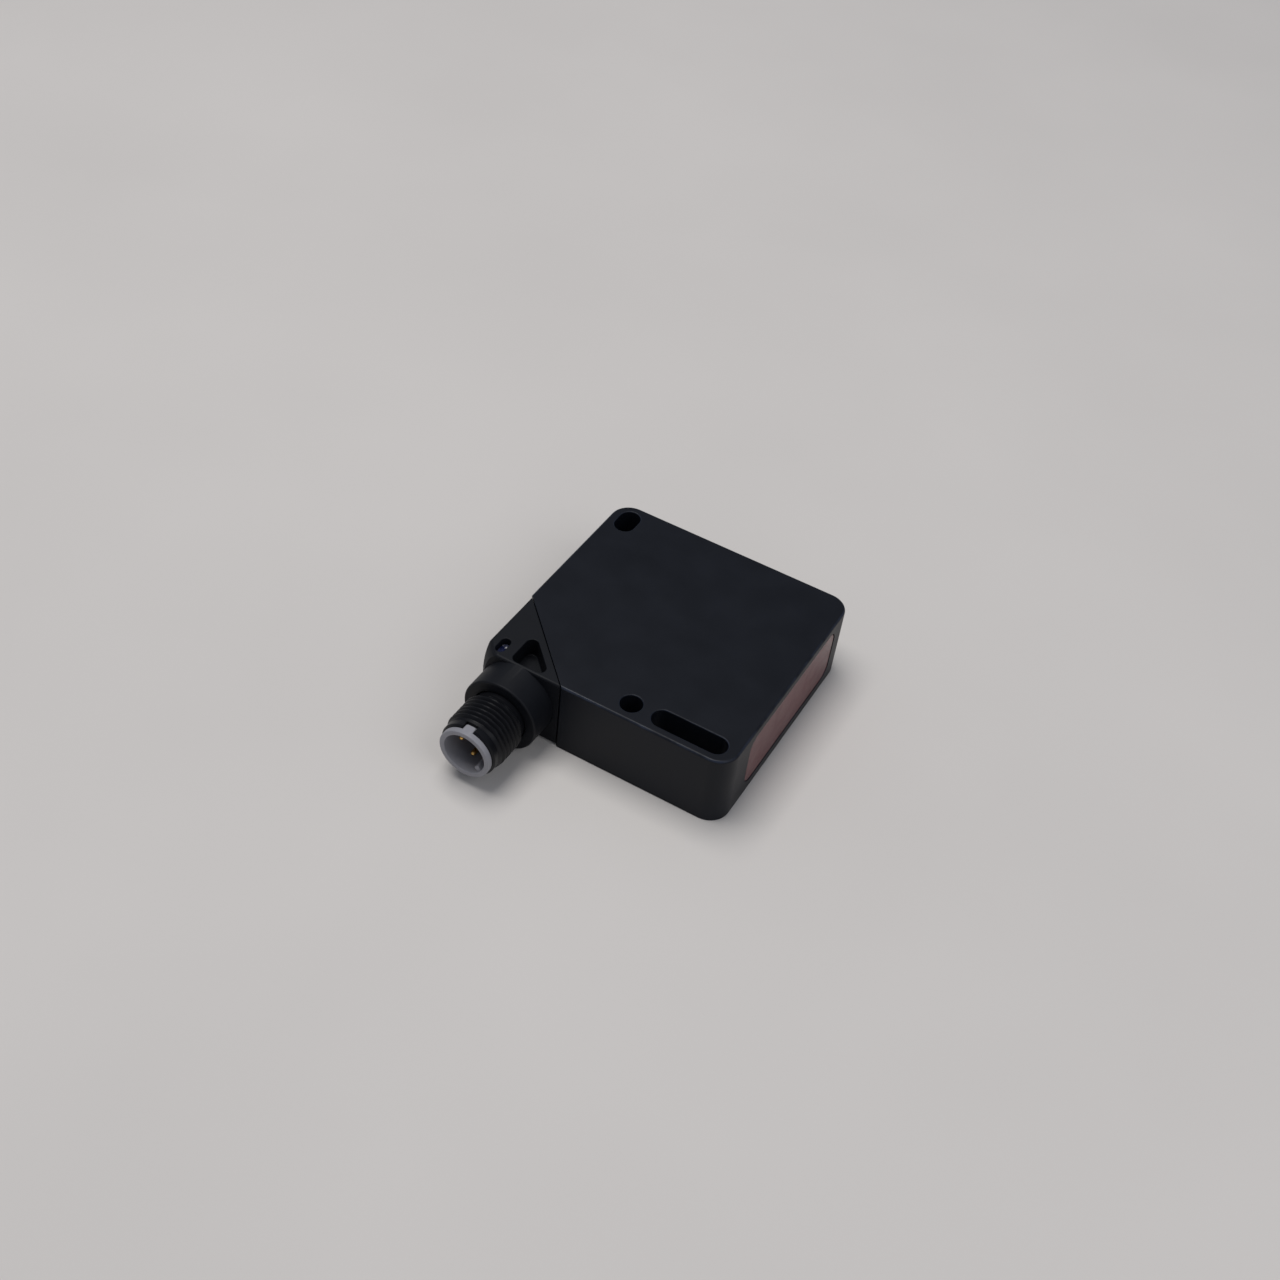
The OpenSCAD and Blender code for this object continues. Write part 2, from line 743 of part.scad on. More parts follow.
module elbow_housing() {
    color("#1d2024") place() difference() {
        union() {
            intersection() {
                translate([0, 0, elbow_z0]) linear_extrude(elbow_z1 - elbow_z0) intersection() {
                    rounded_rect(elbow_inset, elbow_inset, body_l, body_w, elbow_corner_r);
                    elbow_side(-seam_gap);
                }
                shoulder();
            }
            on_port() translate([0, 0, -elbow_inset - collar_root])
                cylinder(d = collar_d, h = collar_l + elbow_inset + collar_root);
            on_swivel() translate([0, 0, -seam_gap - eps])
                cylinder(r = journal_r, h = journal_l + seam_gap + eps);
        }
        on_swivel() {
            translate([0, 0, ring_groove_s]) difference() {
                cylinder(r = journal_r + eps, h = ring_groove_l);
                cylinder(r = ring_groove_r, h = ring_groove_l);
            }
            translate([0, 0, clip_s - 0.05]) difference() {
                cylinder(r = journal_r + eps, h = clip_t + 0.1);
                cylinder(r = clip_groove_r, h = clip_t + 0.1);
            }
            translate([0, 0, -1.5]) cylinder(d = journal_bore, h = journal_l + 1.5 + eps);
        }
        on_port() {
            translate([0, 0, barrel_start]) cylinder(r = barrel_r + fit_gap, h = collar_l);
            translate([0, 0, -port_x]) cylinder(r = passage_r, h = port_x + barrel_start + eps);
        }
        translate([port_x, port_x, mid_z]) sphere(r = passage_r);
        translate([0, 0, elbow_z1 - pocket_depth]) linear_extrude(pocket_depth + eps) pocket_plan();
        translate([fill_x, fill_y, elbow_z1 - fill_depth]) linear_extrude(fill_depth + eps)
            rotate(90) slot(fill_slot_l, fill_slot_w);
    }
}

module fill_plug() {
    color("#0c0d14") place() translate([fill_x, fill_y, elbow_z1 - fill_depth])
        linear_extrude(fill_depth - fill_level) rotate(90)
            slot(fill_slot_l - 2 * fit_gap, fill_slot_w - 2 * fit_gap);
}

module swivel_clip() {
    gap_half = 26;
    color("#9a9da2") place() on_swivel() translate([0, 0, clip_s]) linear_extrude(clip_t) difference() {
        circle(r = clip_r);
        circle(r = clip_groove_r + fit_gap);
        polygon([
            [0, 0],
            3 * clip_r * [cos(gap_half), sin(gap_half)],
            3 * clip_r * [cos(gap_half), -sin(gap_half)]
        ]);
    }
}

module swivel_ring() {
    major = ring_groove_r + ring_wire_r + 0.01;
    color("#202020") place() on_swivel() translate([0, 0, ring_groove_s + ring_groove_l / 2])
        rotate_extrude() translate([major, 0]) circle(r = ring_wire_r);
}

// ---- round plug ----------------------------------------------------------

// Outline of one thread ridge from z, as radius and distance pairs
function ridge(z) = [
    [root_r, z],
    [thread_d / 2, z + (thread_pitch - crest_w) / 2],
    [thread_d / 2, z + (thread_pitch + crest_w) / 2]
];

module threaded_barrel() {
    thread_end = thread_start + thread_turns * thread_pitch;
    chamfer = 0.3;
    outline = concat(
        [[barrel_bore, barrel_start + fit_gap], [barrel_r, barrel_start + fit_gap]],
        [[barrel_r, thread_start]],
        [for (i = [0 : thread_turns - 1]) each ridge(thread_start + i * thread_pitch)],
        [[lead_r, thread_end], [lead_r, barrel_l - chamfer]],
        [[lead_r - chamfer, barrel_l], [barrel_bore, barrel_l]]
    );
    color("#17191d") place() on_port() difference() {
        rotate_extrude() polygon(outline);
        translate([-tab_w / 2 - 0.2, nose_r - 2, barrel_l - tab_l - 0.3])
            cube([tab_w + 0.4, 4, tab_l + 0.3 + eps]);
    }
}

module contact_carrier() {
    cavity_r = cavity_d / 2;
    bottom = carrier_floor;
    color("#9a9ba1") place() on_port() difference() {
        union() {
            rotate_extrude() polygon([
                [0, carrier_start], [tube_in_r, carrier_start], [tube_in_r, barrel_l + fit_gap],
                [nose_r, barrel_l + fit_gap], [nose_r, nose_end], [cavity_r, nose_end],
                [cavity_r, bottom], [0, bottom]
            ]);
            rotate(key_angle) translate([cavity_r - key_reach, -key_w / 2, bottom - 0.2])
                cube([key_reach + 0.15, key_w, nose_end - key_recess - bottom + 0.2]);
            intersection() {
                translate([-tab_w / 2, cavity_r + 0.1, barrel_l - tab_l]) cube([tab_w, 3, tab_l + 0.4]);
                translate([0, 0, barrel_l - tab_l]) cylinder(r = nose_r, h = tab_l + 0.4);
                translate([0, 0, barrel_l - tab_l]) rotate([-90, 0, 0]) translate([0, 0, cavity_r])
                    linear_extrude(3) rounded_rect(-tab_w / 2, -2 * tab_l, tab_w / 2, 0, tab_r);
            }
        }
        for (i = [0 : 3])
            rotate(90 * i) translate([pin_circle / 2, 0, carrier_start - eps])
                cylinder(d = pin_d + 0.04, h = bottom - carrier_start + 2 * eps);
    }
}

// A pin with a rounded tip and a solder cup, at corner i of its square
module contact_pin(i) {
    tip_r = pin_d / 2;
    color("#d8a848") place() on_port() rotate(90 * i) translate([pin_circle / 2, 0, 0]) {
        translate([0, 0, cup_end]) cylinder(r = cup_r, h = cup_l - fit_gap);
        translate([0, 0, cup_end]) cylinder(d = pin_d, h = pin_tip - tip_r - cup_end);
        translate([0, 0, pin_tip - tip_r]) sphere(r = tip_r);
    }
}

module contact_pin_1() { contact_pin(0); }

module contact_pin_2() { contact_pin(1); }

module contact_pin_3() { contact_pin(2); }

module contact_pin_4() { contact_pin(3); }

housing_shell();
base_cover();
cover_gasket();
front_window();
window_gasket();
optics_block();
emitter_lens();
receiver_lens();
receiver_filter();
optics_board();
emitter_led();
receiver_array();
main_board();
board_screws();
board_link();
controller_chip();
driver_chip();
regulator_chip();
supply_capacitors();
receiver_shield();
wire_socket();
inner_leads();
indicator_leds();
power_light_guide();
output_light_guide();
adjuster_screw();
adjuster_ring();
trimmer_body();
trimmer_rotor();
elbow_housing();
swivel_clip();
swivel_ring();
outer_leads();
fill_plug();
threaded_barrel();
contact_carrier();
contact_pin_1();
contact_pin_2();
contact_pin_3();
contact_pin_4();
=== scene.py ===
"""Flat square photoelectric sensor with a swivelling plug elbow, on a pale floor in soft light."""
import json
import math

import bmesh
import bpy
from bpy.props import FloatProperty, FloatVectorProperty, PointerProperty
from mathutils import Matrix, Vector


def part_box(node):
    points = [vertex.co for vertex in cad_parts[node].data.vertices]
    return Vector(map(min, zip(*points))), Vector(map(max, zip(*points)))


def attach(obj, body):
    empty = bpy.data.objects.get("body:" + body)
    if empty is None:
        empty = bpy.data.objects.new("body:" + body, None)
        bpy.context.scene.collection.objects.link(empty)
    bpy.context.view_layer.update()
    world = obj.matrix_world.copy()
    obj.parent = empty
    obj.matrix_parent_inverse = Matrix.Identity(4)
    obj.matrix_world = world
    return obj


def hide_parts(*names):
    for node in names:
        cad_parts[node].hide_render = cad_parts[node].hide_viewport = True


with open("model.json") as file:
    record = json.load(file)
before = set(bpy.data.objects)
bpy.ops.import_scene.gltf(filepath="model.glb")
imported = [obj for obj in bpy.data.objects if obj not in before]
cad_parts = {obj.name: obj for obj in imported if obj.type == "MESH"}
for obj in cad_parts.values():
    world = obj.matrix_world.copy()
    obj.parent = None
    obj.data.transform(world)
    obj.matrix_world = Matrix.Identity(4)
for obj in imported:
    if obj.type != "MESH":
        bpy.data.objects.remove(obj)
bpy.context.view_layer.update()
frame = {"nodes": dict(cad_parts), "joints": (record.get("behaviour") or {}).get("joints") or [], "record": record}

bl_info = {
    "name": "Photoelectric sensor",
    "version": (1, 0, 0),
    "blender": (4, 5, 0),
    "location": "3D View > Sidebar > Sensor",
    "description": "Builds the moulded, turned and plated pieces of a flat square sensor",
    "category": "Add Mesh",
}


# ---- units, colour and the frame's own places ------------------------------

def mm(value):
    """Millimetres in Blender's metres."""
    return value / 1000.0


def lengths(*values):
    """Several lengths, given in millimetres."""
    return [mm(value) for value in values]


def linear(hex_colour):
    """A linear RGB colour from an sRGB hex value."""
    channels = [int(hex_colour[i:i + 2], 16) / 255.0 for i in (0, 2, 4)]
    return tuple(c / 12.92 if c <= 0.04045 else ((c + 0.055) / 1.055) ** 2.4 for c in channels)


BODY_LO, BODY_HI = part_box("housing_shell")
BODY_SIZE = BODY_HI - BODY_LO
MOUNTS = {mount["name"]: mount for mount in frame["record"]["mounts"]}
JOINTS = {joint["name"]: joint for joint in frame["joints"]}
BODY_FRAME = Matrix.Translation(BODY_LO)


def in_body(point):
    """A point of the part frame, seen from the body's lowest corner."""
    return Vector(point) - BODY_LO


def upright_at(x, y):
    """The body's own frame, moved to x and y."""
    return BODY_FRAME @ Matrix.Translation((x, y, 0))


def axis_frame(origin, direction, up=(0, 0, 1)):
    """Local Z runs along direction, and local Y is as near to up as it can be."""
    z = Vector(direction).normalized()
    x = Vector(up).cross(z).normalized()
    turn = Matrix((x, z.cross(x), z)).transposed().to_4x4()
    return Matrix.Translation(Vector(origin)) @ turn


THREAD = MOUNTS["plug_thread"]
PLUG_FRAME = axis_frame((THREAD["pos_m"][0], BODY_LO.y, THREAD["pos_m"][2]), THREAD["axis"])
SWIVEL = JOINTS["elbow_swivel"]
SWIVEL_FRAME = axis_frame(SWIVEL["pos_m"], [-a for a in SWIVEL["axis"]])
ADJUSTER = JOINTS["range_adjuster"]
ADJUSTER_FRAME = axis_frame(ADJUSTER["pos_m"], [-a for a in ADJUSTER["axis"]])
SEAM_LEG = 2 * in_body(SWIVEL["pos_m"]).x
HOLE_AT = in_body(MOUNTS["mounting_hole"]["pos_m"])
LONG_SLOT_AT = in_body(MOUNTS["long_slot"]["pos_m"])
SHORT_SLOT_AT = in_body(MOUNTS["short_slot"]["pos_m"])
HOLE_R = mm(MOUNTS["mounting_hole"]["dims"]["r_mm"])
CREST_R = mm(THREAD["dims"]["r_mm"])
# How far a cutter runs past the surface that it opens.
OVER = mm(1)
JOURNAL_BORE_R = mm(4.55)
LIGHT_GUIDES = ("power_light_guide", "output_light_guide")


# ---- sizes and colours a user may change -----------------------------------

def length(name, description, default_mm):
    """A length property, given in millimetres."""
    return FloatProperty(name=name, description=description, default=mm(default_mm), min=0,
                         unit="LENGTH", precision=5)


def angle(name, description, degrees):
    """An angle property, given in degrees."""
    return FloatProperty(name=name, description=description, default=math.radians(degrees),
                         subtype="ANGLE")


def colour(name, description, hex_colour):
    """A colour property, given as an sRGB hex value."""
    return FloatVectorProperty(name=name, description=description, default=linear(hex_colour),
                               size=3, min=0, max=1, subtype="COLOR")


class SensorSizes(bpy.types.PropertyGroup):
    """Sizes of the edges, walls and openings that the frame leaves to the looks."""
    corner_r: length("Corner radius", "Upright corners of the body", 4)
    edge_r: length("Edge radius", "Rounding along the body's top and bottom", 0.5)
    seam_edge_r: length("Seam edge radius", "Rounding along the seam's edges", 0.06)
    rim_r: length("Hole rim radius", "Rounding at the mouth of each mounting hole", 0.22)
    wall_t: length("Side wall", "Thickness of the side walls", 1.8)
    top_t: length("Top wall", "Thickness of the top wall", 1.4)
    seam_wall: length("Seam wall", "Thickness of the wall behind the seam", 2.4)
    seam_gap: length("Seam gap", "Gap between elbow and body", 0.15)
    tube_wall: length("Tube wall", "Wall of the tubes around the mounting holes", 1.2)
    step_in: length("Cover step", "How far the side walls step back for the cover", 1.1)
    fit_gap: length("Fit gap", "Gap between pieces that seat in each other", 0.05)
    long_slot_l: length("Long slot", "End to end length of the long slot", 14.6)
    short_slot_l: length("Short slot", "End to end length of the short slot", 6.2)
    window_r: length("Window corner radius", "Corners of the window's visible face", 2.6)
    window_z: length("Window sill", "Height of the window opening's lower edge", 2.0)
    window_l: length("Window length", "Length of the window opening", 34.5)
    window_h: length("Window height", "Height of the window opening", 11.6)
    window_y: length("Window start", "Near end of the window opening", 9.1)
    elbow_edge_r: length("Elbow edge radius", "Rounding along the elbow's edges", 0.5)
    collar_r: length("Collar radius", "Outside of the round collar", 7.45)
    collar_l: length("Collar length", "Length of the round collar", 5.7)
    pocket_leg: length("Pocket leg", "Sharp leg length of the triangular pocket", 8.3)
    pocket_depth: length("Pocket depth", "Depth of the triangular pocket", 3.8)
    fill_slot_l: length("Filling slot length", "End to end length of the filling slot", 3.6)
    fill_slot_w: length("Filling slot width", "Width of the filling slot", 1.8)
    thread_pitch: length("Thread pitch", "Distance between thread crests", 1)
    thread_depth: length("Thread depth", "Crest to root", 0.55)


class SensorColours(bpy.types.PropertyGroup):
    """Colours of the finishes."""
    housing: colour("Housing", "Black moulded housing", "12151c")
    elbow: colour("Elbow", "Black moulded elbow", "121419")
    barrel: colour("Barrel", "Black threaded barrel", "111216")
    carrier: colour("Carrier", "Grey contact carrier", "8c8c92")
    window: colour("Window", "Red tint of the window", "6e262a")
    gold: colour("Gold", "Gold plating of the pins", "f0c070")
    resin: colour("Resin", "Casting resin in the filling slot", "101942")
    board: colour("Board", "Solder mask", "1c5c3c")
    floor: colour("Floor", "Pale floor", "d7d3cf")


class SensorView(bpy.types.PropertyGroup):
    """Where the camera stands."""
    azimuth: angle("Azimuth", "Turn of the view about the upright axis", 24.869)
    elevation: angle("Elevation", "Height angle of the view", 44.067)
    roll: angle("Roll", "Lean of the camera about its own axis", 7.353)
    distance: length("Distance", "From the camera to the point it looks at", 301.92)
    lens: FloatProperty(name="Lens", description="Focal length in millimetres", default=45.574)
    aim: FloatVectorProperty(name="Aim", description="Point that the camera looks at",
                             default=(mm(-9.97), mm(21.65), mm(7.7)), size=3,
                             subtype="TRANSLATION", unit="LENGTH")


# ---- mesh code -------------------------------------------------------------

# Segments of a rounded corner, of a quarter round along an edge, of a full turn and of a small one.
ARC_STEPS = 10
ROUND_STEPS = 6
TURN_STEPS = 96
SMALL_TURN_STEPS = 48
# Points closer than this are one point, while solids are combined and in a finished piece.
TOOL_MARK = mm(0.0005)
SLIVER = mm(0.002)
SMOOTH_ANGLE = math.radians(35)


def quarter_turn(steps=ROUND_STEPS):
    return [math.pi / 2 * k / steps for k in range(steps + 1)]


def full_turn(steps=TURN_STEPS):
    return [2 * math.pi * k / steps for k in range(steps)]


def outline(corners, radii, inset=0.0):
    """A convex outline with rounded corners, moved in by inset, always with the same points."""
    least = mm(0.02)
    points = []
    for i, corner in enumerate(corners):
        here = Vector(corner)
        back = (here - Vector(corners[i - 1])).normalized()
        on = (Vector(corners[(i + 1) % len(corners)]) - here).normalized()
        turn = back.angle(on)
        held = max(radii[i], inset + least)
        centre = here - back * held * math.tan(turn / 2) + Vector((-back.y, back.x)) * held
        start = math.atan2(-back.x, back.y)
        for k in range(ARC_STEPS + 1):
            angle = start + turn * k / ARC_STEPS
            points.append(centre + (held - inset) * Vector((math.cos(angle), math.sin(angle))))
    return points


def box_corners(x0, y0, x1, y1):
    return [(x0, y0), (x1, y0), (x1, y1), (x0, y1)]


def slot_corners(centre, along_x, along_y):
    return box_corners(centre[0] - along_x / 2, centre[1] - along_y / 2,
                       centre[0] + along_x / 2, centre[1] + along_y / 2)


def rounded_levels(z0, z1, r0, r1):
    """Levels from z0 to z1 with quarter rounds of r0 at the bottom and r1 at the top."""
    quarter = quarter_turn()
    bottom = [(z0 + r0 * (1 - math.cos(a)), r0 * (1 - math.sin(a))) for a in quarter]
    top = [(z1 - r1 * (1 - math.cos(a)), r1 * (1 - math.sin(a))) for a in reversed(quarter)]
    return (bottom if r0 else [(z0, 0)]) + (top if r1 else [(z1, 0)])


def mouth_levels(z0, z1, flare):
    """Levels of a cutter that runs past z0 and opens in a quarter round at the surface z1."""
    rim = [(z1 - flare + flare * math.sin(a), -flare * (1 - math.cos(a))) for a in quarter_turn()]
    return [(z0, 0)] + rim + [(z1 + OVER, -flare)]


def add_object(name, data):
    """A new object in the scene."""
    thing = bpy.data.objects.new(name, data)
    bpy.context.scene.collection.objects.link(thing)
    return thing


def loft(name, rings, place, closed=False):
    """A closed solid through rings of the same number of points, placed by a matrix."""
    mesh = bpy.data.meshes.new(name)
    bm = bmesh.new()
    rows = [[bm.verts.new(place @ Vector(point)) for point in ring] for ring in rings]
    count = len(rows[0])
    spans = list(zip(rows, rows[1:])) + ([(rows[-1], rows[0])] if closed else [])
    for low, high in spans:
        for k in range(count):
            after = (k + 1) % count
            bm.faces.new((low[k], low[after], high[after], high[k]))
    if not closed:
        bm.faces.new(rows[0])
        bm.faces.new(rows[-1])
    bmesh.ops.remove_doubles(bm, verts=bm.verts, dist=TOOL_MARK)
    bmesh.ops.recalc_face_normals(bm, faces=bm.faces)
    bm.to_mesh(mesh)
    bm.free()
    return add_object(name, mesh)


def prism(name, corners, radii, levels, place=BODY_FRAME):
    """An upright solid whose rounded outline moves in and out from level to level."""
    if not isinstance(radii, (list, tuple)):
        radii = [radii] * len(corners)
    rings = [[(x, y, z) for x, y in outline(corners, radii, inset)] for z, inset in levels]
    return loft(name, rings, place)


def lathe(name, profile, place, closed=False, steps=TURN_STEPS):
    """A turned solid from radius and distance pairs."""
    rings = [[(r * math.cos(a), r * math.sin(a), z) for a in full_turn(steps)] for r, z in profile]
    return loft(name, rings, place, closed)


def rounded_profile(r, z0, z1, round0, round1):
    """A turned rod with quarter rounds at both ends."""
    return [(r - inset, z) for z, inset in rounded_levels(z0, z1, round0, round1)]


def block(name, low, high, place=BODY_FRAME):
    """A plain cutting block."""
    corners = box_corners(low[0], low[1], high[0], high[1])
    rings = [[(x, y, z) for x, y in corners] for z in (low[2], high[2])]
    return loft(name, rings, place)


def weld(mesh, distance, smooth=False):
    """Merges points closer than distance, and if asked shades smooth up to an angle."""
    bm = bmesh.new()
    bm.from_mesh(mesh)
    bmesh.ops.remove_doubles(bm, verts=bm.verts, dist=distance)
    bmesh.ops.dissolve_degenerate(bm, edges=bm.edges, dist=distance)
    if smooth:
        for face in bm.faces:
            face.smooth = True
        for edge in bm.edges:
            edge.smooth = len(edge.link_faces) == 2 and edge.calc_face_angle(0) < SMOOTH_ANGLE
    bm.to_mesh(mesh)
    bm.free()


def combine(solid, operation, tools):
    """Joins, cuts or intersects solid with each tool in turn, and removes the tools."""
    for tool in tools:
        step = solid.modifiers.new("combine", "BOOLEAN")
        step.operation = operation
        step.solver = "EXACT"
        step.object = tool
        graph = bpy.context.evaluated_depsgraph_get()
        result = bpy.data.meshes.new_from_object(solid.evaluated_get(graph))
        solid.modifiers.clear()
        solid.data = result
        weld(result, TOOL_MARK)
        bpy.data.objects.remove(tool)
    return solid


def set_piece(piece, body, node, material):
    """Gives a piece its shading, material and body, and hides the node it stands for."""
    weld(piece.data, SLIVER, smooth=True)
    piece.modifiers.new("flat faces stay flat", "WEIGHTED_NORMAL").keep_sharp = True
    piece.data.materials.clear()
    piece.data.materials.append(material)
    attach(piece, body)
    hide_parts(node)


def paint(material, *nodes):
    """Gives nodes of the frame their material."""
    for node in nodes:
        piece = frame["nodes"][node]
        piece.data.materials.clear()
        piece.data.materials.append(material)


# ---- materials -------------------------------------------------------------

# The middle of a noise's values: stretched to the full range, it gives soft patches.
PATCH = (0.3, 0.7)


def add_node(tree, kind, settings):
    """Adds a node, sets its properties and inputs, and links the inputs that are given a socket."""
    node = tree.nodes.new(kind)
    for key, value in settings.items():
        if isinstance(value, bpy.types.NodeSocket):
            tree.links.new(value, node.inputs[key])
        elif isinstance(key, int) or key in node.inputs:
            node.inputs[key].default_value = value
        else:
            setattr(node, key, value)
    return node


def new_material(name):
    """An empty node material with its output, and object coordinates in metres."""
    material = bpy.data.materials.new(name)
    material.use_nodes = True
    tree = material.node_tree
    tree.nodes.clear()
    place = add_node(tree, "ShaderNodeTexCoord", {}).outputs["Object"]
    return material, tree, place


def finished(material, settings):
    """The material with its one shader."""
    tree = material.node_tree
    shader = add_node(tree, "ShaderNodeBsdfPrincipled", settings)
    add_node(tree, "ShaderNodeOutputMaterial", {"Surface": shader.outputs["BSDF"]})
    return material


def noise(tree, place, size_mm, detail, roughness=0.5):
    """Noise whose features are about size_mm across."""
    return add_node(tree, "ShaderNodeTexNoise", {
        "Scale": 1 / mm(size_mm), "Detail": detail, "Roughness": roughness, "Vector": place,
    }).outputs["Fac"]


def ramp(tree, value, low, high, to_low=0.0, to_high=1.0):
    """A value remapped and clamped from low..high to to_low..to_high."""
    return add_node(tree, "ShaderNodeMapRange", {
        "From Min": low, "From Max": high, "To Min": to_low, "To Max": to_high, "Value": value,
    }).outputs["Result"]


def blend(tree, factor, first, second):
    """A tone between two, each a socket or a shade, by a factor."""
    return add_node(tree, "ShaderNodeMix", {
        "data_type": "RGBA", 0: factor, 6: first, 7: second,
    }).outputs[2]


def shade(rgb, factor):
    """A colour made lighter or darker by a factor, with its alpha."""
    return (*(min(1.0, c * factor) for c in rgb[:3]), 1)


def bump(tree, height, depth_mm):
    return add_node(tree, "ShaderNodeBump", {
        "Strength": 1.0, "Distance": mm(depth_mm), "Height": height,
    }).outputs["Normal"]


def multiply(tree, first, second):
    """The product of two values, each a socket or a number."""
    return add_node(tree, "ShaderNodeMath", {
        "operation": "MULTIPLY", 0: first, 1: second,
    }).outputs[0]


def moulded(name, rgb, roughness, grain_mm, grain_depth_mm, specular=0.5, scuffs=0.0, patchy=0.12,
            edge_rub_and_highlight=0.0):
    """Moulded plastic: soft patches of tone, a fine grain, faint scuffs, and edges rubbed smooth with a painted
    highlight lightening their tone.
    """
    material, tree, place = new_material(name)
    patch_mm, unevenness = 7, 0.03
    patches = noise(tree, place, patch_mm, 3)
    tone = blend(tree, ramp(tree, patches, *PATCH), shade(rgb, 1 - patchy),
                 shade(rgb, 1 + patchy))
    grain = noise(tree, place, grain_mm, 2, 0.6)
    dull = ramp(tree, patches, *PATCH, roughness - unevenness, roughness + unevenness)
    if scuffs:
        scuff_mm, scuffed_area_mm, lean, stretch, scuff_tone = 0.6, 9, 0.6, 0.12, 5
        stretched = add_node(tree, "ShaderNodeMapping", {
            "Rotation": (0, 0, lean), "Scale": (1, stretch, stretch), "Vector": place,
        }).outputs["Vector"]
        marks = ramp(tree, noise(tree, stretched, scuff_mm, 4, 0.65), 0.68, 0.8)
        where = ramp(tree, noise(tree, place, scuffed_area_mm, 2), 0.52, 0.7)
        tone = blend(tree, multiply(tree, multiply(tree, marks, where), scuffs), tone,
                     shade(rgb, scuff_tone))
    if edge_rub_and_highlight:
        rub_and_highlight_mm, edge_highlight_tone, rubbed_shine = 5, 9, -0.2
        normal = add_node(tree, "ShaderNodeTexCoord", {}).outputs["Normal"]
        lift = add_node(tree, "ShaderNodeSeparateXYZ", {"Vector": normal}).outputs["Z"]
        # Between upright and level, which only the rounds along the top edges are.
        edge = multiply(tree, ramp(tree, lift, 0.25, 0.5), ramp(tree, lift, 0.93, 0.985, 1.0, 0.0))
        rubbed_and_highlit = multiply(tree, edge, ramp(tree, noise(tree, place, rub_and_highlight_mm, 4, 0.6), 0.35, 0.65))
        # Painted highlight: the rounds along the top edges are made lighter in tone where light catches them,
        # while their lower roughness below is real rubbing.
        tone = blend(tree, multiply(tree, rubbed_and_highlit, edge_rub_and_highlight), tone, shade(rgb, edge_highlight_tone))
        shine = multiply(tree, rubbed_and_highlit, rubbed_shine)
        dull = add_node(tree, "ShaderNodeMath", {"operation": "ADD", 0: dull, 1: shine}).outputs[0]
    return finished(material, {
        "IOR": 1.5, "Specular IOR Level": specular,
        "Base Color": tone, "Roughness": dull, "Normal": bump(tree, grain, grain_depth_mm),
    })


def plated(name, rgb, roughness, brush_mm=0.15):
    """Plated metal: slightly uneven polish from fine drawing marks."""
    material, tree, place = new_material(name)
    marks = noise(tree, place, brush_mm, 3)
    tone = blend(tree, marks, shade(rgb, 0.85), shade(rgb, 1.1))
    dull = ramp(tree, marks, *PATCH, roughness - 0.05, roughness + 0.08)
    return finished(material, {
        "Metallic": 1.0, "Base Color": tone, "Roughness": dull, "Normal": bump(tree, marks, 0.002),
    })


def clear(name, rgb, roughness, ior, transmission):
    """Clear or tinted plastic or glass, with a faint unevenness in its polish."""
    material, tree, place = new_material(name)
    haze_mm = 4.0
    haze = noise(tree, place, haze_mm, 2)
    tone = blend(tree, haze, shade(rgb, 0.94), shade(rgb, 1.06))
    dull = ramp(tree, haze, *PATCH, roughness, roughness + 0.04)
    return finished(material, {
        "IOR": ior, "Transmission Weight": transmission,
        "Base Color": tone, "Roughness": dull,
    })


def eroded_abs(colours):
    """Spark-eroded black ABS, moulded: matt blue-black, with a fine even grain, faint scuffs and a painted
    highlight along the rounded top edges.
    """
    # The true grain is about 0.05 mm; it is drawn at 0.18 mm so that it shows.
    return moulded("spark_eroded_black_abs", colours.housing, 0.42, 0.18, 0.006, 0.17, scuffs=0.35,
                   edge_rub_and_highlight=0.4)


def elbow_pbt(colours):
    """Glass-filled black PBT, moulded: a shade more neutral and more worn than the housing."""
    return moulded("moulded_glass_filled_pbt", colours.elbow, 0.5, 0.22, 0.008, 0.16, scuffs=0.5)


def barrel_pbt(colours):
    """Black PBT from a polished thread mould: darker, with a soft shine on the crests."""
    return moulded("polished_mould_black_pbt", colours.barrel, 0.4, 0.3, 0.004, 0.2)


def carrier_pbt(colours):
    """Grey PBT, moulded: smooth, slightly translucent to the eye, even in tone."""
    return moulded("moulded_grey_pbt", colours.carrier, 0.42, 0.3, 0.003, 0.4, patchy=0.05)


def cover_abs(colours):
    """Black ABS from a plainer mould: the grain of the housing, a little glossier."""
    return moulded("plain_mould_black_abs", shade(colours.housing, 0.95), 0.45, 0.25, 0.005, 0.3)


def window_pmma(colours):
    """Red-tinted PMMA, polished: dark red depth, with a pinkish milk where light skims it."""
    material, tree, place = new_material("polished_red_tinted_pmma")
    cloud_mm, wipe_mm, clean, wiped = 9, 3, 0.16, 0.26
    cloud = noise(tree, place, cloud_mm, 2)
    tint = blend(tree, ramp(tree, cloud, *PATCH), shade(colours.window, 0.88),
                 shade(colours.window, 1.12))
    dull = ramp(tree, noise(tree, place, wipe_mm, 3), 0.35, 0.7, clean, wiped)
    return finished(material, {
        "IOR": 1.49, "Transmission Weight": 0.35, "Specular IOR Level": 0.12,
        "Base Color": tint, "Roughness": dull,
    })


def casting_resin(colours):
    """Cured casting resin: glossy, blue-black, with a wet-looking surface."""
    material, tree, place = new_material("cured_blue_black_resin")
    ripple_mm, ripple_depth_mm = 0.9, 0.06
    ripple = noise(tree, place, ripple_mm, 1)
    tone = blend(tree, ripple, shade(colours.resin, 0.8), shade(colours.resin, 1.3))
    return finished(material, {
        "IOR": 1.55, "Roughness": 0.2, "Coat Weight": 0.2, "Coat Roughness": 0.05,
        "Base Color": tone, "Normal": bump(tree, ripple, ripple_depth_mm),
    })


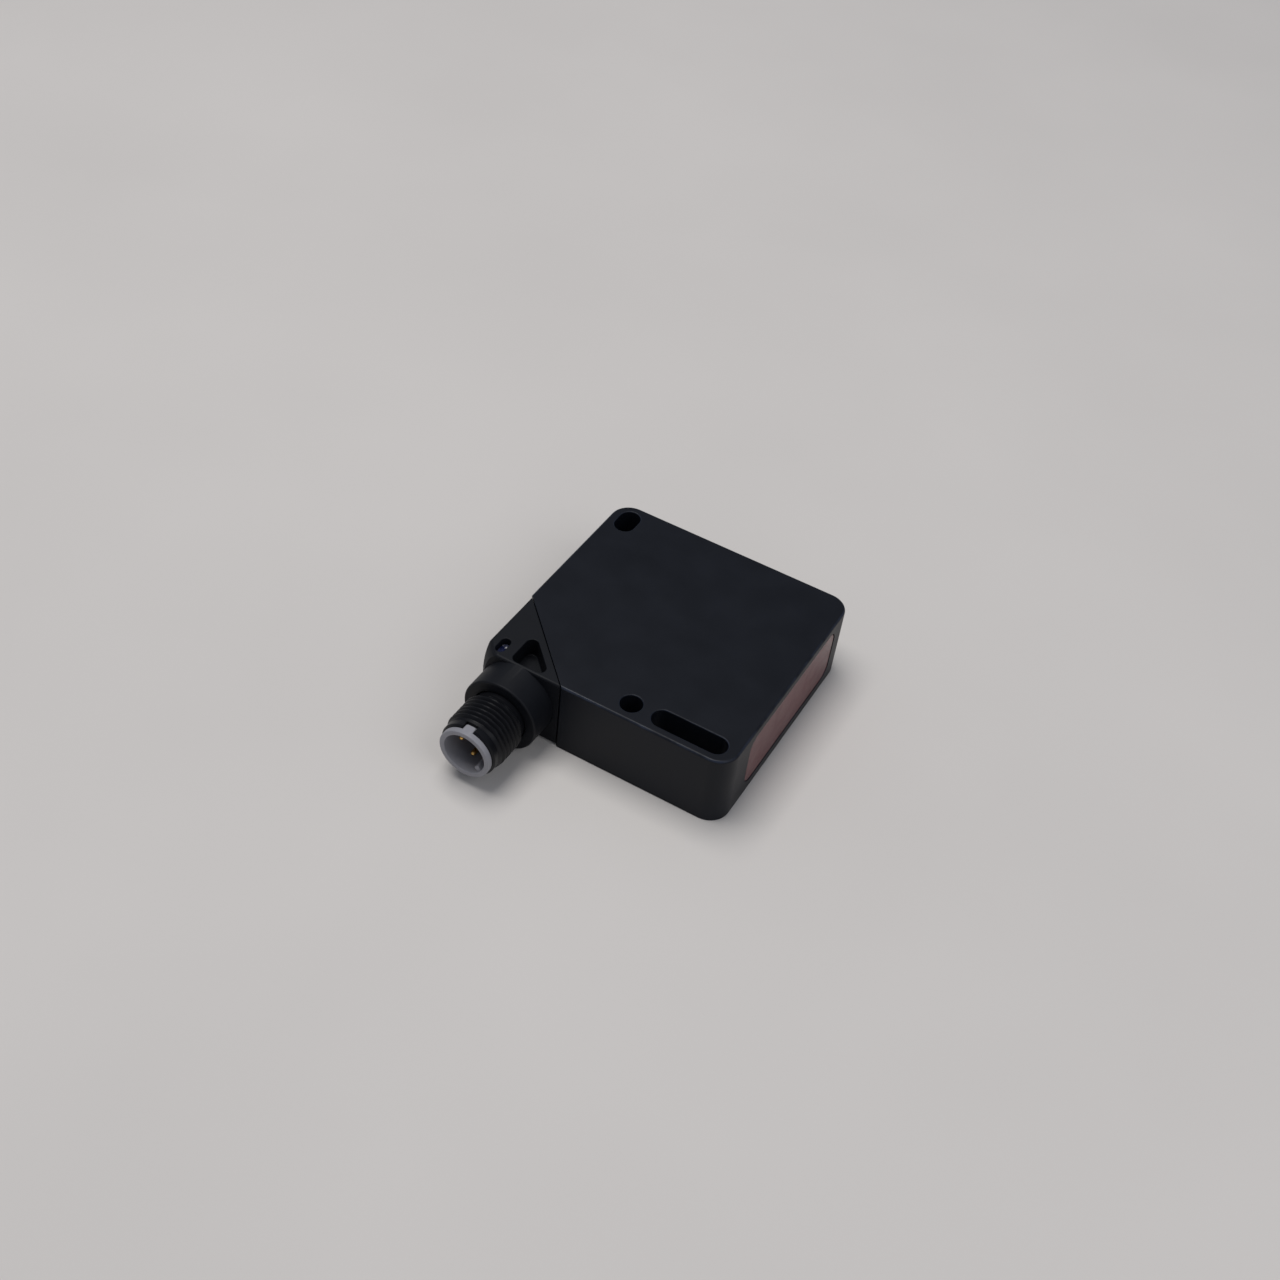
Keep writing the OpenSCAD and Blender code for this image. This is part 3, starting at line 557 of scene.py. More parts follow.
def solder_mask(colours):
    """Green solder mask over woven glass: glossy, with a faint weave 0.6 mm apart."""
    material, tree, place = new_material("solder_mask_on_glass_weave")
    # The node's bands repeat every 2 pi / 20 of its scaled coordinate.
    spacing, band = mm(0.6), 2 * math.pi / 20
    threads = [add_node(tree, "ShaderNodeTexWave", {
        "wave_type": "BANDS", "bands_direction": axis, "Scale": band / spacing, "Distortion": 0.4,
        "Vector": place,
    }).outputs["Fac"] for axis in ("X", "Y")]
    weave = multiply(tree, *threads)
    tone = blend(tree, weave, shade(colours.board, 0.8), shade(colours.board, 1.15))
    return finished(material, {
        "IOR": 1.52, "Roughness": 0.28, "Base Color": tone, "Normal": bump(tree, weave, 0.01),
    })


def floor_laminate(colours):
    """Pale sheet laminate: a matt warm grey with very soft clouds and a faint tooth."""
    material, tree, place = new_material("pale_sheet_laminate")
    cloud_mm, tooth_mm, tooth_depth_mm = 90, 1.2, 0.01
    clouds = noise(tree, place, cloud_mm, 3)
    tone = blend(tree, ramp(tree, clouds, *PATCH), shade(colours.floor, 0.975),
                 shade(colours.floor, 1.02))
    tooth = noise(tree, place, tooth_mm, 2)
    return finished(material, {
        "IOR": 1.45, "Roughness": 0.75, "Specular IOR Level": 0.25,
        "Base Color": tone, "Normal": bump(tree, tooth, tooth_depth_mm),
    })


# ---- housing ---------------------------------------------------------------

SEAM_CORNER_R = mm(0.1)


def body_outline(sizes, inset, seam_inset):
    """Corners and radii of the body's outline, with its corner cut along the seam."""
    leg = SEAM_LEG + seam_inset * math.sqrt(2)
    width, depth = BODY_SIZE.x, BODY_SIZE.y
    corners = [(leg - inset, inset), (width - inset, inset), (width - inset, depth - inset),
               (inset, depth - inset), (inset, leg - inset)]
    small, least = lengths(0.12, 0.6)
    large = max(sizes.corner_r - inset, least)
    return corners, [small, large, large, large, small]


def seam_side(reach):
    """Triangle over the corner that the seam cuts off, its long side at reach along both edges."""
    out = 4 * OVER
    return [(-out, -out), (reach + out, -out), (-out, reach + out)]


def seamed_block(name, sizes):
    """The body's rounded block with its corner cut off, and a tight edge along the seam."""
    width, depth, height = BODY_SIZE
    cut_off_r, bottom_r = lengths(1, 0.15)
    solid = prism(name, box_corners(0, 0, width, depth), [cut_off_r] + [sizes.corner_r] * 3,
                  rounded_levels(0, height, bottom_r, sizes.edge_r))
    cut = mouth_levels(-OVER, height, sizes.seam_edge_r)
    seam_cut = prism("seam cut", seam_side(SEAM_LEG), SEAM_CORNER_R, cut)
    return combine(solid, "DIFFERENCE", [seam_cut])


def side_frame(x):
    """Local X runs along Y, local Y up and local Z out of the window side, from x."""
    turn = Matrix(((0, 0, 1, 0), (1, 0, 0, 0), (0, 1, 0, 0), (0, 0, 0, 1)))
    return Matrix.Translation((x, BODY_LO.y, 0)) @ turn


def hole_outlines(sizes, grow):
    """Corners and radius of the round hole and both slots, each grown by grow."""
    across = 2 * (HOLE_R + grow)
    return [
        (slot_corners(HOLE_AT, across, across), across / 2),
        (slot_corners(LONG_SLOT_AT, sizes.long_slot_l + 2 * grow, across), across / 2),
        (slot_corners(SHORT_SLOT_AT, across, sizes.short_slot_l + 2 * grow), across / 2),
    ]


def tube_solids(sizes, grow, z0, z1):
    """The tubes around the mounting holes, and the web between the two front ones."""
    reach = sizes.tube_wall + grow
    solids = [prism("tube", corners, radius, [(z0, 0), (z1, 0)])
              for corners, radius in hole_outlines(sizes, reach)]
    solids.append(block("web", (HOLE_AT.x, -OVER, z0), (LONG_SLOT_AT.x, HOLE_AT.y, z1)))
    return solids


def window_corners(sizes, gap):
    """The window opening in the side frame, made smaller by gap."""
    return box_corners(sizes.window_y + gap, sizes.window_z + gap,
                       sizes.window_y + sizes.window_l - gap, sizes.window_z + sizes.window_h - gap)


def post_places():
    """Where the two board screws stand."""
    low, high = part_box("board_screws")
    radius = (high.x - low.x) / 2
    x = in_body(low).x + radius
    return [(x, in_body(low).y + radius), (x, in_body(high).y - radius)], in_body(high).z


def make_housing_shell(sizes, colours):
    """Moulding with top, side walls, tubes, screw posts, adjuster boss and window opening."""
    height = BODY_SIZE.z
    floor_z = in_body(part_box("cover_gasket")[1]).z
    ceiling_z = height - sizes.top_t
    shell = seamed_block("housing_moulding", sizes)
    step_seam = sizes.seam_wall - sizes.wall_t + sizes.step_in
    ledge = prism("ledge", *body_outline(sizes, sizes.step_in, step_seam),
                  [(-OVER, 0), (floor_z, 0)])
    ceiling_r, sill_flare = lengths(0.4, 0.12)
    cavity = prism("cavity", *body_outline(sizes, sizes.wall_t, sizes.seam_wall),
                   [(floor_z - OVER, 0)] + rounded_levels(0, ceiling_z, 0, ceiling_r)[1:])
    cutters = [combine(hollow, "DIFFERENCE", tube_solids(sizes, 0, -2 * OVER, height))
               for hollow in (ledge, cavity)]
    cutters += [prism("hole", corners, radius, mouth_levels(-OVER, height, sizes.rim_r))
                for corners, radius in hole_outlines(sizes, 0)]
    cutters.append(lathe("journal bore", [(JOURNAL_BORE_R, -OVER),
                                          (JOURNAL_BORE_R, sizes.seam_wall + OVER)], SWIVEL_FRAME))
    for node in LIGHT_GUIDES:
        low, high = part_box(node)
        middle = (low + high) / 2
        hole_r = (high.y - low.y) / 2 + sizes.fit_gap
        cutters.append(lathe("guide hole", [(hole_r, -OVER), (hole_r, sizes.wall_t + OVER)],
                             axis_frame((BODY_LO.x, middle.y, middle.z), (1, 0, 0)),
                             steps=SMALL_TURN_STEPS))
    cutters.append(prism("window opening", window_corners(sizes, 0), sizes.window_r,
                         mouth_levels(-sizes.wall_t - OVER, 0, sill_flare), side_frame(BODY_HI.x)))
    combine(shell, "DIFFERENCE", cutters)

    spots, shank_end = post_places()
    post_z = in_body(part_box("main_board")[1]).z + sizes.fit_gap
    post_r, pilot_r, centre_r = lengths(2.2, 1.05, 0.1)
    pilot_end = shank_end + mm(0.5)
    posts = [lathe("post", [(post_r, ceiling_z + OVER / 2), (post_r, post_z), (pilot_r, post_z),
                            (pilot_r, pilot_end), (centre_r, pilot_end)],
                   upright_at(x, y), steps=SMALL_TURN_STEPS)
             for x, y in spots]
    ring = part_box("adjuster_ring")
    bore_r = (ring[1].z - ring[0].z) / 2 + sizes.fit_gap
    boss_r, boss_end = bore_r + mm(1.1), mm(4.6)
    boss = lathe("boss", [(boss_r, sizes.wall_t - OVER / 2), (boss_r, boss_end)],
                 ADJUSTER_FRAME, steps=64)
    combine(shell, "UNION", posts + [boss])
    land, stem_r, flare = lengths(3.4, 1.25, 0.2)
    combine(shell, "DIFFERENCE", [
        lathe("adjuster bore", [(bore_r + flare, -OVER), (bore_r + flare, 0), (bore_r, flare),
                                (bore_r, land), (stem_r, land), (stem_r, boss_end + OVER)],
              ADJUSTER_FRAME),
    ])
    set_piece(shell, "housing", "housing_shell", eroded_abs(colours))


def make_base_cover(sizes, colours):
    """Cover in the underside, with a label recess, ejector marks and a gate mark."""
    thickness = in_body(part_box("base_cover")[1]).z
    gap = sizes.fit_gap
    step_seam = sizes.seam_wall - sizes.wall_t + sizes.step_in
    cover = prism("cover_moulding", *body_outline(sizes, sizes.step_in + gap, step_seam + gap),
                  rounded_levels(0, thickness, mm(0.2), mm(0.1)))
    cutters = tube_solids(sizes, gap, -2 * OVER, thickness + OVER)
    margin, recess_r, deep, broken = lengths(6, 2, 0.3, 0.1)
    recess = box_corners(4 * margin, 2 * margin, BODY_SIZE.x - margin, BODY_SIZE.y - margin)
    cutters.append(prism("recess", recess, recess_r,
                         [(-OVER, 0), (deep - broken, 0), (deep, broken)]))
    mark_r, mark_depth, mark_places = mm(1.5), mm(0.1), ((12, 26), (20, 44), (21, 20))
    mark = [(mark_r, -OVER), (mark_r, mark_depth - mm(0.02)), (mark_r - mm(0.08), mark_depth)]
    for x, y in mark_places:
        cutters.append(lathe("ejector mark", mark, upright_at(mm(x), mm(y)), steps=40))
    combine(cover, "DIFFERENCE", cutters)
    gate_r, gate_low, gate_high, gate_round = lengths(0.7, 0.05, 0.6, 0.15)
    gate = lathe("gate", rounded_profile(gate_r, gate_low, gate_high, gate_round, 0),
                 upright_at(mm(12), mm(33)), steps=32)
    combine(cover, "UNION", [gate])
    set_piece(cover, "housing", "base_cover", cover_abs(colours))


def make_window(sizes, colours):
    """Window plate with a flange behind its rounded face."""
    low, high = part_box("front_window")
    face_frame = side_frame(high.x)
    gap = sizes.fit_gap
    flange_t, flange_r, flange_round, face_round = lengths(1.2, 0.8, 0.1, 0.25)
    back = low.x - high.x
    plate = prism("window_plate", window_corners(sizes, gap), sizes.window_r - gap,
                  rounded_levels(back + flange_t / 2, 0, 0, face_round), face_frame)
    flange = prism("flange", box_corners(low.y - BODY_LO.y, low.z, high.y - BODY_LO.y, high.z),
                   flange_r, rounded_levels(back, back + flange_t, flange_round, flange_round),
                   face_frame)
    combine(plate, "UNION", [flange])
    set_piece(plate, "housing", "front_window", window_pmma(colours))


# ---- elbow and plug --------------------------------------------------------

def shoulder(z0, z1):
    """A drum about an upright axis near the seam, rounded so that it slopes only the far corner."""
    axis_at = mm(14)
    top_r, bulge, fall, steps = mm(16.9), mm(2.1), mm(6), 2 * ROUND_STEPS
    upper = [(top_r + bulge * math.sin(a), z1 - fall * (1 - math.cos(a)))
             for a in quarter_turn(steps)]
    lower = [(r, z0 + z1 - z) for r, z in reversed(upper)]
    profile = [(top_r, z1 + OVER)] + upper + lower + [(top_r, z0 - OVER)]
    return lathe("shoulder", profile, upright_at(axis_at, axis_at), steps=2 * TURN_STEPS)


def make_elbow(sizes, colours):
    """Corner wedge with round collar, triangular pocket, filling slot and hollow journal."""
    low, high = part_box("fill_plug")
    inset, corner_r = lengths(0.2, 0.8)
    z0, z1 = inset, BODY_SIZE.z - inset
    past_seam = SEAM_LEG + 4 * OVER
    wedge = prism("elbow_moulding", box_corners(inset, inset, past_seam, past_seam),
                  [corner_r, OVER, OVER, OVER],
                  rounded_levels(z0, z1, sizes.elbow_edge_r, sizes.elbow_edge_r))
    seam = seam_side(SEAM_LEG - sizes.seam_gap * math.sqrt(2))
    combine(wedge, "INTERSECT", [
        prism("seam side", seam, SEAM_CORNER_R,
              rounded_levels(z0, z1, sizes.seam_edge_r, sizes.seam_edge_r)),
        shoulder(z0, z1),
    ])
    collar_root, collar_round = lengths(0.7, 0.35)
    collar = lathe("collar", rounded_profile(sizes.collar_r, -collar_root, sizes.collar_l, 0,
                                             collar_round), PLUG_FRAME)
    journal_r, journal_l, chamfer = lengths(4.5, 4.9, 0.3)
    ring_r, ring_a, ring_b = lengths(3.55, 0.6, 1.7)
    clip_r, clip_a, clip_b = lengths(3.8, 2.43, 3.13)
    journal = lathe("journal", [
        (journal_r, -sizes.seam_gap - OVER / 2), (journal_r, ring_a), (ring_r, ring_a),
        (ring_r, ring_b), (journal_r, ring_b), (journal_r, clip_a), (clip_r, clip_a),
        (clip_r, clip_b), (journal_r, clip_b),
        (journal_r, journal_l - chamfer), (journal_r - chamfer, journal_l),
    ], SWIVEL_FRAME)
    combine(wedge, "UNION", [collar, journal])

    leg, pocket_r, pocket_x, pocket_y = sizes.pocket_leg, mm(1.2), mm(5.8), mm(0.85)
    triangle = [(pocket_x, pocket_y), (pocket_x + leg, pocket_y), (pocket_x, pocket_y + leg)]
    floor_round, pocket_flare, slot_flare = lengths(0.3, 0.15, 0.2)
    pocket_levels = rounded_levels(z1 - sizes.pocket_depth, z1, floor_round, 0)[:-1]
    pocket = prism("pocket", triangle, pocket_r,
                   pocket_levels + mouth_levels(z1 - OVER, z1, pocket_flare)[1:])
    middle = in_body((low + high) / 2)
    slot_levels = mouth_levels(in_body(low).z, z1, slot_flare)
    filling = prism("filling slot", slot_corners(middle, sizes.fill_slot_w, sizes.fill_slot_l),
                    sizes.fill_slot_w / 2, slot_levels)
    lead_bore, passage_r, seat_r, seat_start, seat_flare = lengths(2.6, 3.1, 5.25, 1, 0.25)
    reach = in_body((THREAD["pos_m"][0], 0, 0)).x
    into, tip_r, slant = mm(1.5), mm(0.2), passage_r * 0.7
    cutters = [
        pocket, filling,
        lathe("lead bore", [(lead_bore, -into), (lead_bore, journal_l + OVER)], SWIVEL_FRAME),
        lathe("barrel seat", [
            (seat_r, seat_start), (seat_r, sizes.collar_l - seat_flare),
            (seat_r + seat_flare, sizes.collar_l), (seat_r + seat_flare, sizes.collar_l + OVER),
        ], PLUG_FRAME),
        lathe("lead passage", [
            (tip_r, -reach - passage_r), (slant, -reach - slant), (passage_r, -reach),
            (passage_r, into),
        ], PLUG_FRAME),
    ]
    combine(wedge, "DIFFERENCE", cutters)
    set_piece(wedge, "elbow", "elbow_housing", elbow_pbt(colours))


def make_fill_plug(sizes, colours):
    """Resin at the bottom of the filling slot, with the dished surface it cures with."""
    low, high = (in_body(corner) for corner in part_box("fill_plug"))
    middle = (low + high) / 2
    corners = slot_corners(middle, high.x - low.x, high.y - low.y)
    half = (high.x - low.x) / 2
    dish, reach, steps = mm(0.35), half * 0.95, 8
    surface = [(high.z - dish * math.sin(a), reach * k / steps)
               for k, a in enumerate(quarter_turn(steps))]
    resin = prism("resin_filling", corners, half, [(low.z, 0)] + surface)
    set_piece(resin, "elbow", "fill_plug", casting_resin(colours))


def make_barrel(sizes, colours):
    """Tube with a cut helical thread that runs out at both ends, and a notch for the tab."""
    low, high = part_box("threaded_barrel")
    near, far = BODY_LO.y - high.y, BODY_LO.y - low.y
    seat_r, bore_r, root_r = mm(5.2), mm(4.65), CREST_R - sizes.thread_depth
    lead_r = root_r + mm(0.1)
    thread_a, thread_b, run_in, run_out = lengths(6.7, 13.95, 0.35, 0.15)
    chamfer, bore_chamfer = lengths(0.3, 0.1)
    pitch, per_pitch = sizes.thread_pitch, 14
    steepness, root_share = 1.3, 0.08
    rows = round((thread_b - thread_a) / pitch * per_pitch)

    def thread_radius(angle, z):
        """Radius of the thread's flank at an angle and a distance."""
        phase = (z / pitch - angle / (2 * math.pi)) % 1.0
        flank = max(0.0, min(1.0, (0.5 - abs(phase - 0.5)) * 2 * steepness - root_share))
        fade = min(1.0, (z - thread_a) / pitch, (thread_b - z) / pitch)
        return root_r + (CREST_R - root_r) * min(flank, max(fade, 0.0))

    def ring(z, radius_at):
        """A ring of points, its radius given for each angle."""
        return [(radius_at(a, z) * math.cos(a), radius_at(a, z) * math.sin(a), z)
                for a in full_turn()]

    def plain(radius, z):
        """A round ring."""
        return ring(z, lambda angle, height: radius)

    rings = [plain(bore_r, near), plain(seat_r, near), plain(seat_r, thread_a - run_in)]
    rings += [ring(thread_a + (thread_b - thread_a) * k / rows, thread_radius)
              for k in range(rows + 1)]
    rings += [plain(lead_r, thread_b + run_out), plain(lead_r, far - chamfer),
              plain(lead_r - chamfer, far), plain(bore_r + bore_chamfer, far),
              plain(bore_r, far - bore_chamfer)]
    barrel = loft("threaded_tube", rings, PLUG_FRAME, closed=True)
    notch_half, notch_l, inside, outside = lengths(1.2, 1.55, 4, 8)
    notch = block("notch", (-notch_half, inside, far - notch_l), (notch_half, outside, far + OVER),
                  PLUG_FRAME)
    combine(barrel, "DIFFERENCE", [notch])
    set_piece(barrel, "elbow", "threaded_barrel", barrel_pbt(colours))


def make_carrier(sizes, colours):
    """Insert with a rounded nose, a locating tab and a coding rib."""
    low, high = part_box("contact_carrier")
    near, far = BODY_LO.y - high.y, BODY_LO.y - low.y
    nose_r = (high.x - low.x) / 2
    cavity_r, tube_r = lengths(4.1, 4.6)
    bottom = mm(6.6)
    barrel_end = BODY_LO.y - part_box("threaded_barrel")[0].y
    nose_start = barrel_end + sizes.fit_gap
    rim, back_round = lengths(0.22, 0.08)
    nose = rounded_profile(nose_r, nose_start, far, back_round, rim)
    lip = [(cavity_r + rim * (1 - math.sin(a)), far - rim * (1 - math.cos(a)))
           for a in quarter_turn()]
    profile = [(tube_r, near), (tube_r, nose_start)] + nose + lip + [(cavity_r, bottom)]
    carrier = lathe("contact_insert", profile, PLUG_FRAME)
    turn = PLUG_FRAME @ Matrix.Rotation(math.radians(-45), 4, "Z")
    sunk, square, round_r, end_round = lengths(0.15, 0.05, 0.3, 0.15)
    rib_w, rib_h, rib_root, short_of_rim = lengths(1, 1, 0.2, 0.5)
    rib = prism("rib", box_corners(cavity_r - rib_h, -rib_w / 2, cavity_r + sunk, rib_w / 2),
                [round_r, square, square, round_r],
                rounded_levels(bottom - rib_root, far - short_of_rim, 0, end_round), turn)
    tab_w, tab_l, tab_root, tab_r, below_nose = lengths(2, 1.25, 0.2, 0.45, 0.02)
    up_frame = PLUG_FRAME @ Matrix(((1, 0, 0, 0), (0, 0, 1, 0), (0, -1, 0, 0), (0, 0, 0, 1)))
    tab = prism("tab", box_corners(-tab_w / 2, -nose_start - tab_root, tab_w / 2,
                                   tab_l - barrel_end),
                [square, square, tab_r, tab_r],
                rounded_levels(cavity_r + sunk, nose_r - below_nose, 0, end_round), up_frame)
    combine(carrier, "UNION", [rib, tab])
    set_piece(carrier, "elbow", "contact_carrier", carrier_pbt(colours))


# ---- adjuster and light guides ---------------------------------------------

def make_adjuster(sizes, colours):
    """Slotted brass adjuster with a broken head edge, a ring groove and a driving blade."""
    low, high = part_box("adjuster_screw")
    start, end = in_body(low).x, in_body(high).x
    head_r = (high.z - low.z) / 2
    neck_r, stem_r = head_r - mm(0.75), mm(1.2)
    break_r, break_step = lengths(0.2, 0.06)
    groove, groove_w, land, stem_end = start + mm(1.1), mm(1), mm(3.25), end - mm(0.8)
    screw = lathe("slotted_adjuster", [
        (head_r - break_r, start), (head_r - break_step, start + break_step),
        (head_r, start + break_r), (head_r, groove), (neck_r, groove),
        (neck_r, groove + groove_w), (head_r, groove + groove_w),
        (head_r, land), (stem_r, land), (stem_r, stem_end),
    ], ADJUSTER_FRAME, steps=64)
    blade_w, blade_t, blade_root = lengths(2, 0.6, 0.2)
    combine(screw, "UNION", [block("blade", (-blade_w / 2, -blade_t / 2, stem_end - blade_root),
                                   (blade_w / 2, blade_t / 2, end), ADJUSTER_FRAME)])
    slot_half, slot_depth, past_head = lengths(0.35, 0.7, 4)
    combine(screw, "DIFFERENCE", [block("slot", (-past_head, -slot_half, start - OVER),
                                        (past_head, slot_half, start + slot_depth),
                                        ADJUSTER_FRAME)])
    set_piece(screw, "adjuster", "adjuster_screw",
              plated("nickel_plated_brass", linear("b9b6ae"), 0.3))


def make_light_guides(sizes, colours):
    """Two clear rods with rounded ends."""
    inner_round, outer_round = lengths(0.2, 0.4)
    glassy = clear("moulded_clear_pmma", linear("dfe6ea"), 0.08, 1.49, 0.85)
    for node in LIGHT_GUIDES:
        low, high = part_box(node)
        middle = (low + high) / 2
        radius = (high.y - low.y) / 2
        rod = lathe(node.replace("light_guide", "light_rod"),
                    rounded_profile(radius, 0, high.x - low.x, outer_round, inner_round),
                    axis_frame((low.x, middle.y, middle.z), (1, 0, 0)), steps=SMALL_TURN_STEPS)
        set_piece(rod, "housing", node, glassy)


def paint_inside(sizes, colours):
    """Finishes of the pieces whose shape the frame already gives."""
    # Moulded EPDM: dull black with a soft, dry look.
    paint(moulded("moulded_black_epdm", linear("232323"), 0.75, 0.4, 0.01, 0.3),
          "cover_gasket", "window_gasket", "adjuster_ring", "swivel_ring")
    # Matt black PC from a coarse mould: swallows stray light.
    paint(moulded("coarse_matt_black_pc", linear("141416"), 0.85, 0.3, 0.02, 0.15), "optics_block")
    # Transfer-moulded epoxy: slightly grey, with a fine stipple.
    paint(moulded("transfer_moulded_epoxy", linear("222327"), 0.6, 0.15, 0.01, 0.4),
          "controller_chip", "driver_chip", "regulator_chip", "receiver_array", "board_link")
    # White PPA of an LED package: bright and satin.
    paint(moulded("moulded_white_ppa", linear("dcdad2"), 0.4, 0.3, 0.002),
          "emitter_led", "indicator_leds")
    # Blue PBT of the trimmer, glossy from a polished mould.
    paint(moulded("polished_mould_blue_pbt", linear("2c5fa8"), 0.3, 0.3, 0.002), "trimmer_body")
    # Natural nylon of the socket and the rotor: warm white and slightly waxy.
    paint(moulded("moulded_natural_nylon", linear("e6e2d6"), 0.42, 0.4, 0.003),
          "wire_socket", "trimmer_rotor")
    # Fired ceramic of the capacitors: tan and dry.
    paint(moulded("fired_tan_ceramic", linear("b58a4a"), 0.65, 0.2, 0.01), "supply_capacitors")
    # Extruded PVC of the leads: brown, slightly glossy.
    paint(moulded("extruded_brown_pvc", linear("7d5129"), 0.4, 0.5, 0.002),
          "inner_leads", "outer_leads")
    # Gold over nickel on turned brass: warm, with a soft bright highlight.
    paint(plated("gold_plated_brass", colours.gold, 0.24),
          *(f"contact_pin_{i}" for i in range(1, 5)))
    # Zinc-plated, stamped and tinned steels, from dull to bright.
    paint(plated("zinc_plated_steel", linear("b9bcc0"), 0.38), "board_screws")
    paint(plated("tinned_steel", linear("c9ccd0"), 0.3, 0.4), "receiver_shield")
    paint(plated("hardened_spring_steel", linear("8f9297"), 0.34), "swivel_clip")
    # Polished PMMA lenses and a dark infrared filter glass.
    paint(clear("polished_lens_pmma", linear("eef3f6"), 0.03, 1.49, 0.95),
          "emitter_lens", "receiver_lens")
    paint(clear("polished_dark_red_glass", linear("3b1420"), 0.05, 1.52, 0.6), "receiver_filter")
    paint(solder_mask(colours), "main_board", "optics_board")


# ---- stage -----------------------------------------------------------------

def area_light(name, place, aim, size, power, rgb):
    """A rectangular soft light that points at aim."""
    data = bpy.data.lights.new(name, "AREA")
    data.shape = "RECTANGLE"
    data.size, data.size_y = size
    data.energy = power
    data.color = rgb
    lamp = add_object(name, data)
    lamp.location = place
    lamp.rotation_euler = (Vector(aim) - Vector(place)).to_track_quat("-Z", "Y").to_euler()


def make_stage(view, colours):
    """Pale floor, soft lights, dim surroundings and the camera."""
    half, thickness, under = 1.6, mm(5), -mm(0.02)
    floor = block("floor", (-half, -half, under - thickness), (half, half, under),
                  Matrix.Identity(4))
    floor.data.materials.append(floor_laminate(colours))

    aim = Vector(view.aim)
    warm, cool, bluish_room = (1.0, 0.985, 0.965), (0.97, 0.98, 1.0), (0.78, 0.84, 1.0, 1)
    area_light("ceiling light", (-0.30, 0.04, 1.2), aim, size=(0.85, 0.7), power=9.3, rgb=warm)
    area_light("right fill", (0.95, -0.2, 0.95), aim, size=(0.9, 0.9), power=3.5, rgb=cool)

    world = bpy.data.worlds.new("room")
    world.use_nodes = True
    surroundings = world.node_tree.nodes["Background"]
    surroundings.inputs["Color"].default_value = bluish_room
    surroundings.inputs["Strength"].default_value = 0.21
    bpy.context.scene.world = world
    bpy.context.scene.view_settings.view_transform = "Standard"

    flat = math.cos(view.elevation)
    towards = Vector((math.sin(view.azimuth) * flat, -math.cos(view.azimuth) * flat,
                      math.sin(view.elevation)))
    level = (-towards).cross(Vector((0, 0, 1))).normalized()
    upright = towards.cross(level)
    right = math.cos(view.roll) * level + math.sin(view.roll) * upright
    up = towards.cross(right)
    data = bpy.data.cameras.new("camera")
    data.lens = view.lens
    data.clip_start = 0.01
    camera = add_object("camera", data)
    turn = Matrix((right, up, towards)).transposed().to_4x4()
    camera.matrix_world = Matrix.Translation(aim + towards * view.distance) @ turn
    bpy.context.scene.camera = camera


# ---- operators, panel and registration -------------------------------------

class PieceOperator:
    """What the piece operators share: each calls its own maker."""
    bl_options = {"REGISTER", "UNDO"}
    maker = None

    def execute(self, context):
        type(self).maker(context.scene.sensor_sizes, context.scene.sensor_colours)
        return {"FINISHED"}


class SENSOR_OT_housing(PieceOperator, bpy.types.Operator):
    """Make the housing moulding"""
    bl_idname = "sensor.make_housing"
    bl_label = "Housing"
    maker = make_housing_shell


class SENSOR_OT_cover(PieceOperator, bpy.types.Operator):
    """Make the cover in the underside"""
    bl_idname = "sensor.make_cover"
    bl_label = "Base cover"
    maker = make_base_cover


class SENSOR_OT_window(PieceOperator, bpy.types.Operator):
    """Make the tinted window"""
    bl_idname = "sensor.make_window"
    bl_label = "Window"
    maker = make_window


class SENSOR_OT_elbow(PieceOperator, bpy.types.Operator):
    """Make the swivelling elbow"""
    bl_idname = "sensor.make_elbow"
    bl_label = "Elbow"
    maker = make_elbow


class SENSOR_OT_resin(PieceOperator, bpy.types.Operator):
    """Make the resin in the filling slot"""
    bl_idname = "sensor.make_resin"
    bl_label = "Resin filling"
    maker = make_fill_plug


class SENSOR_OT_barrel(PieceOperator, bpy.types.Operator):
    """Make the threaded barrel"""
    bl_idname = "sensor.make_barrel"
    bl_label = "Threaded barrel"
    maker = make_barrel


class SENSOR_OT_carrier(PieceOperator, bpy.types.Operator):
    """Make the contact carrier"""
    bl_idname = "sensor.make_carrier"
    bl_label = "Contact carrier"
    maker = make_carrier


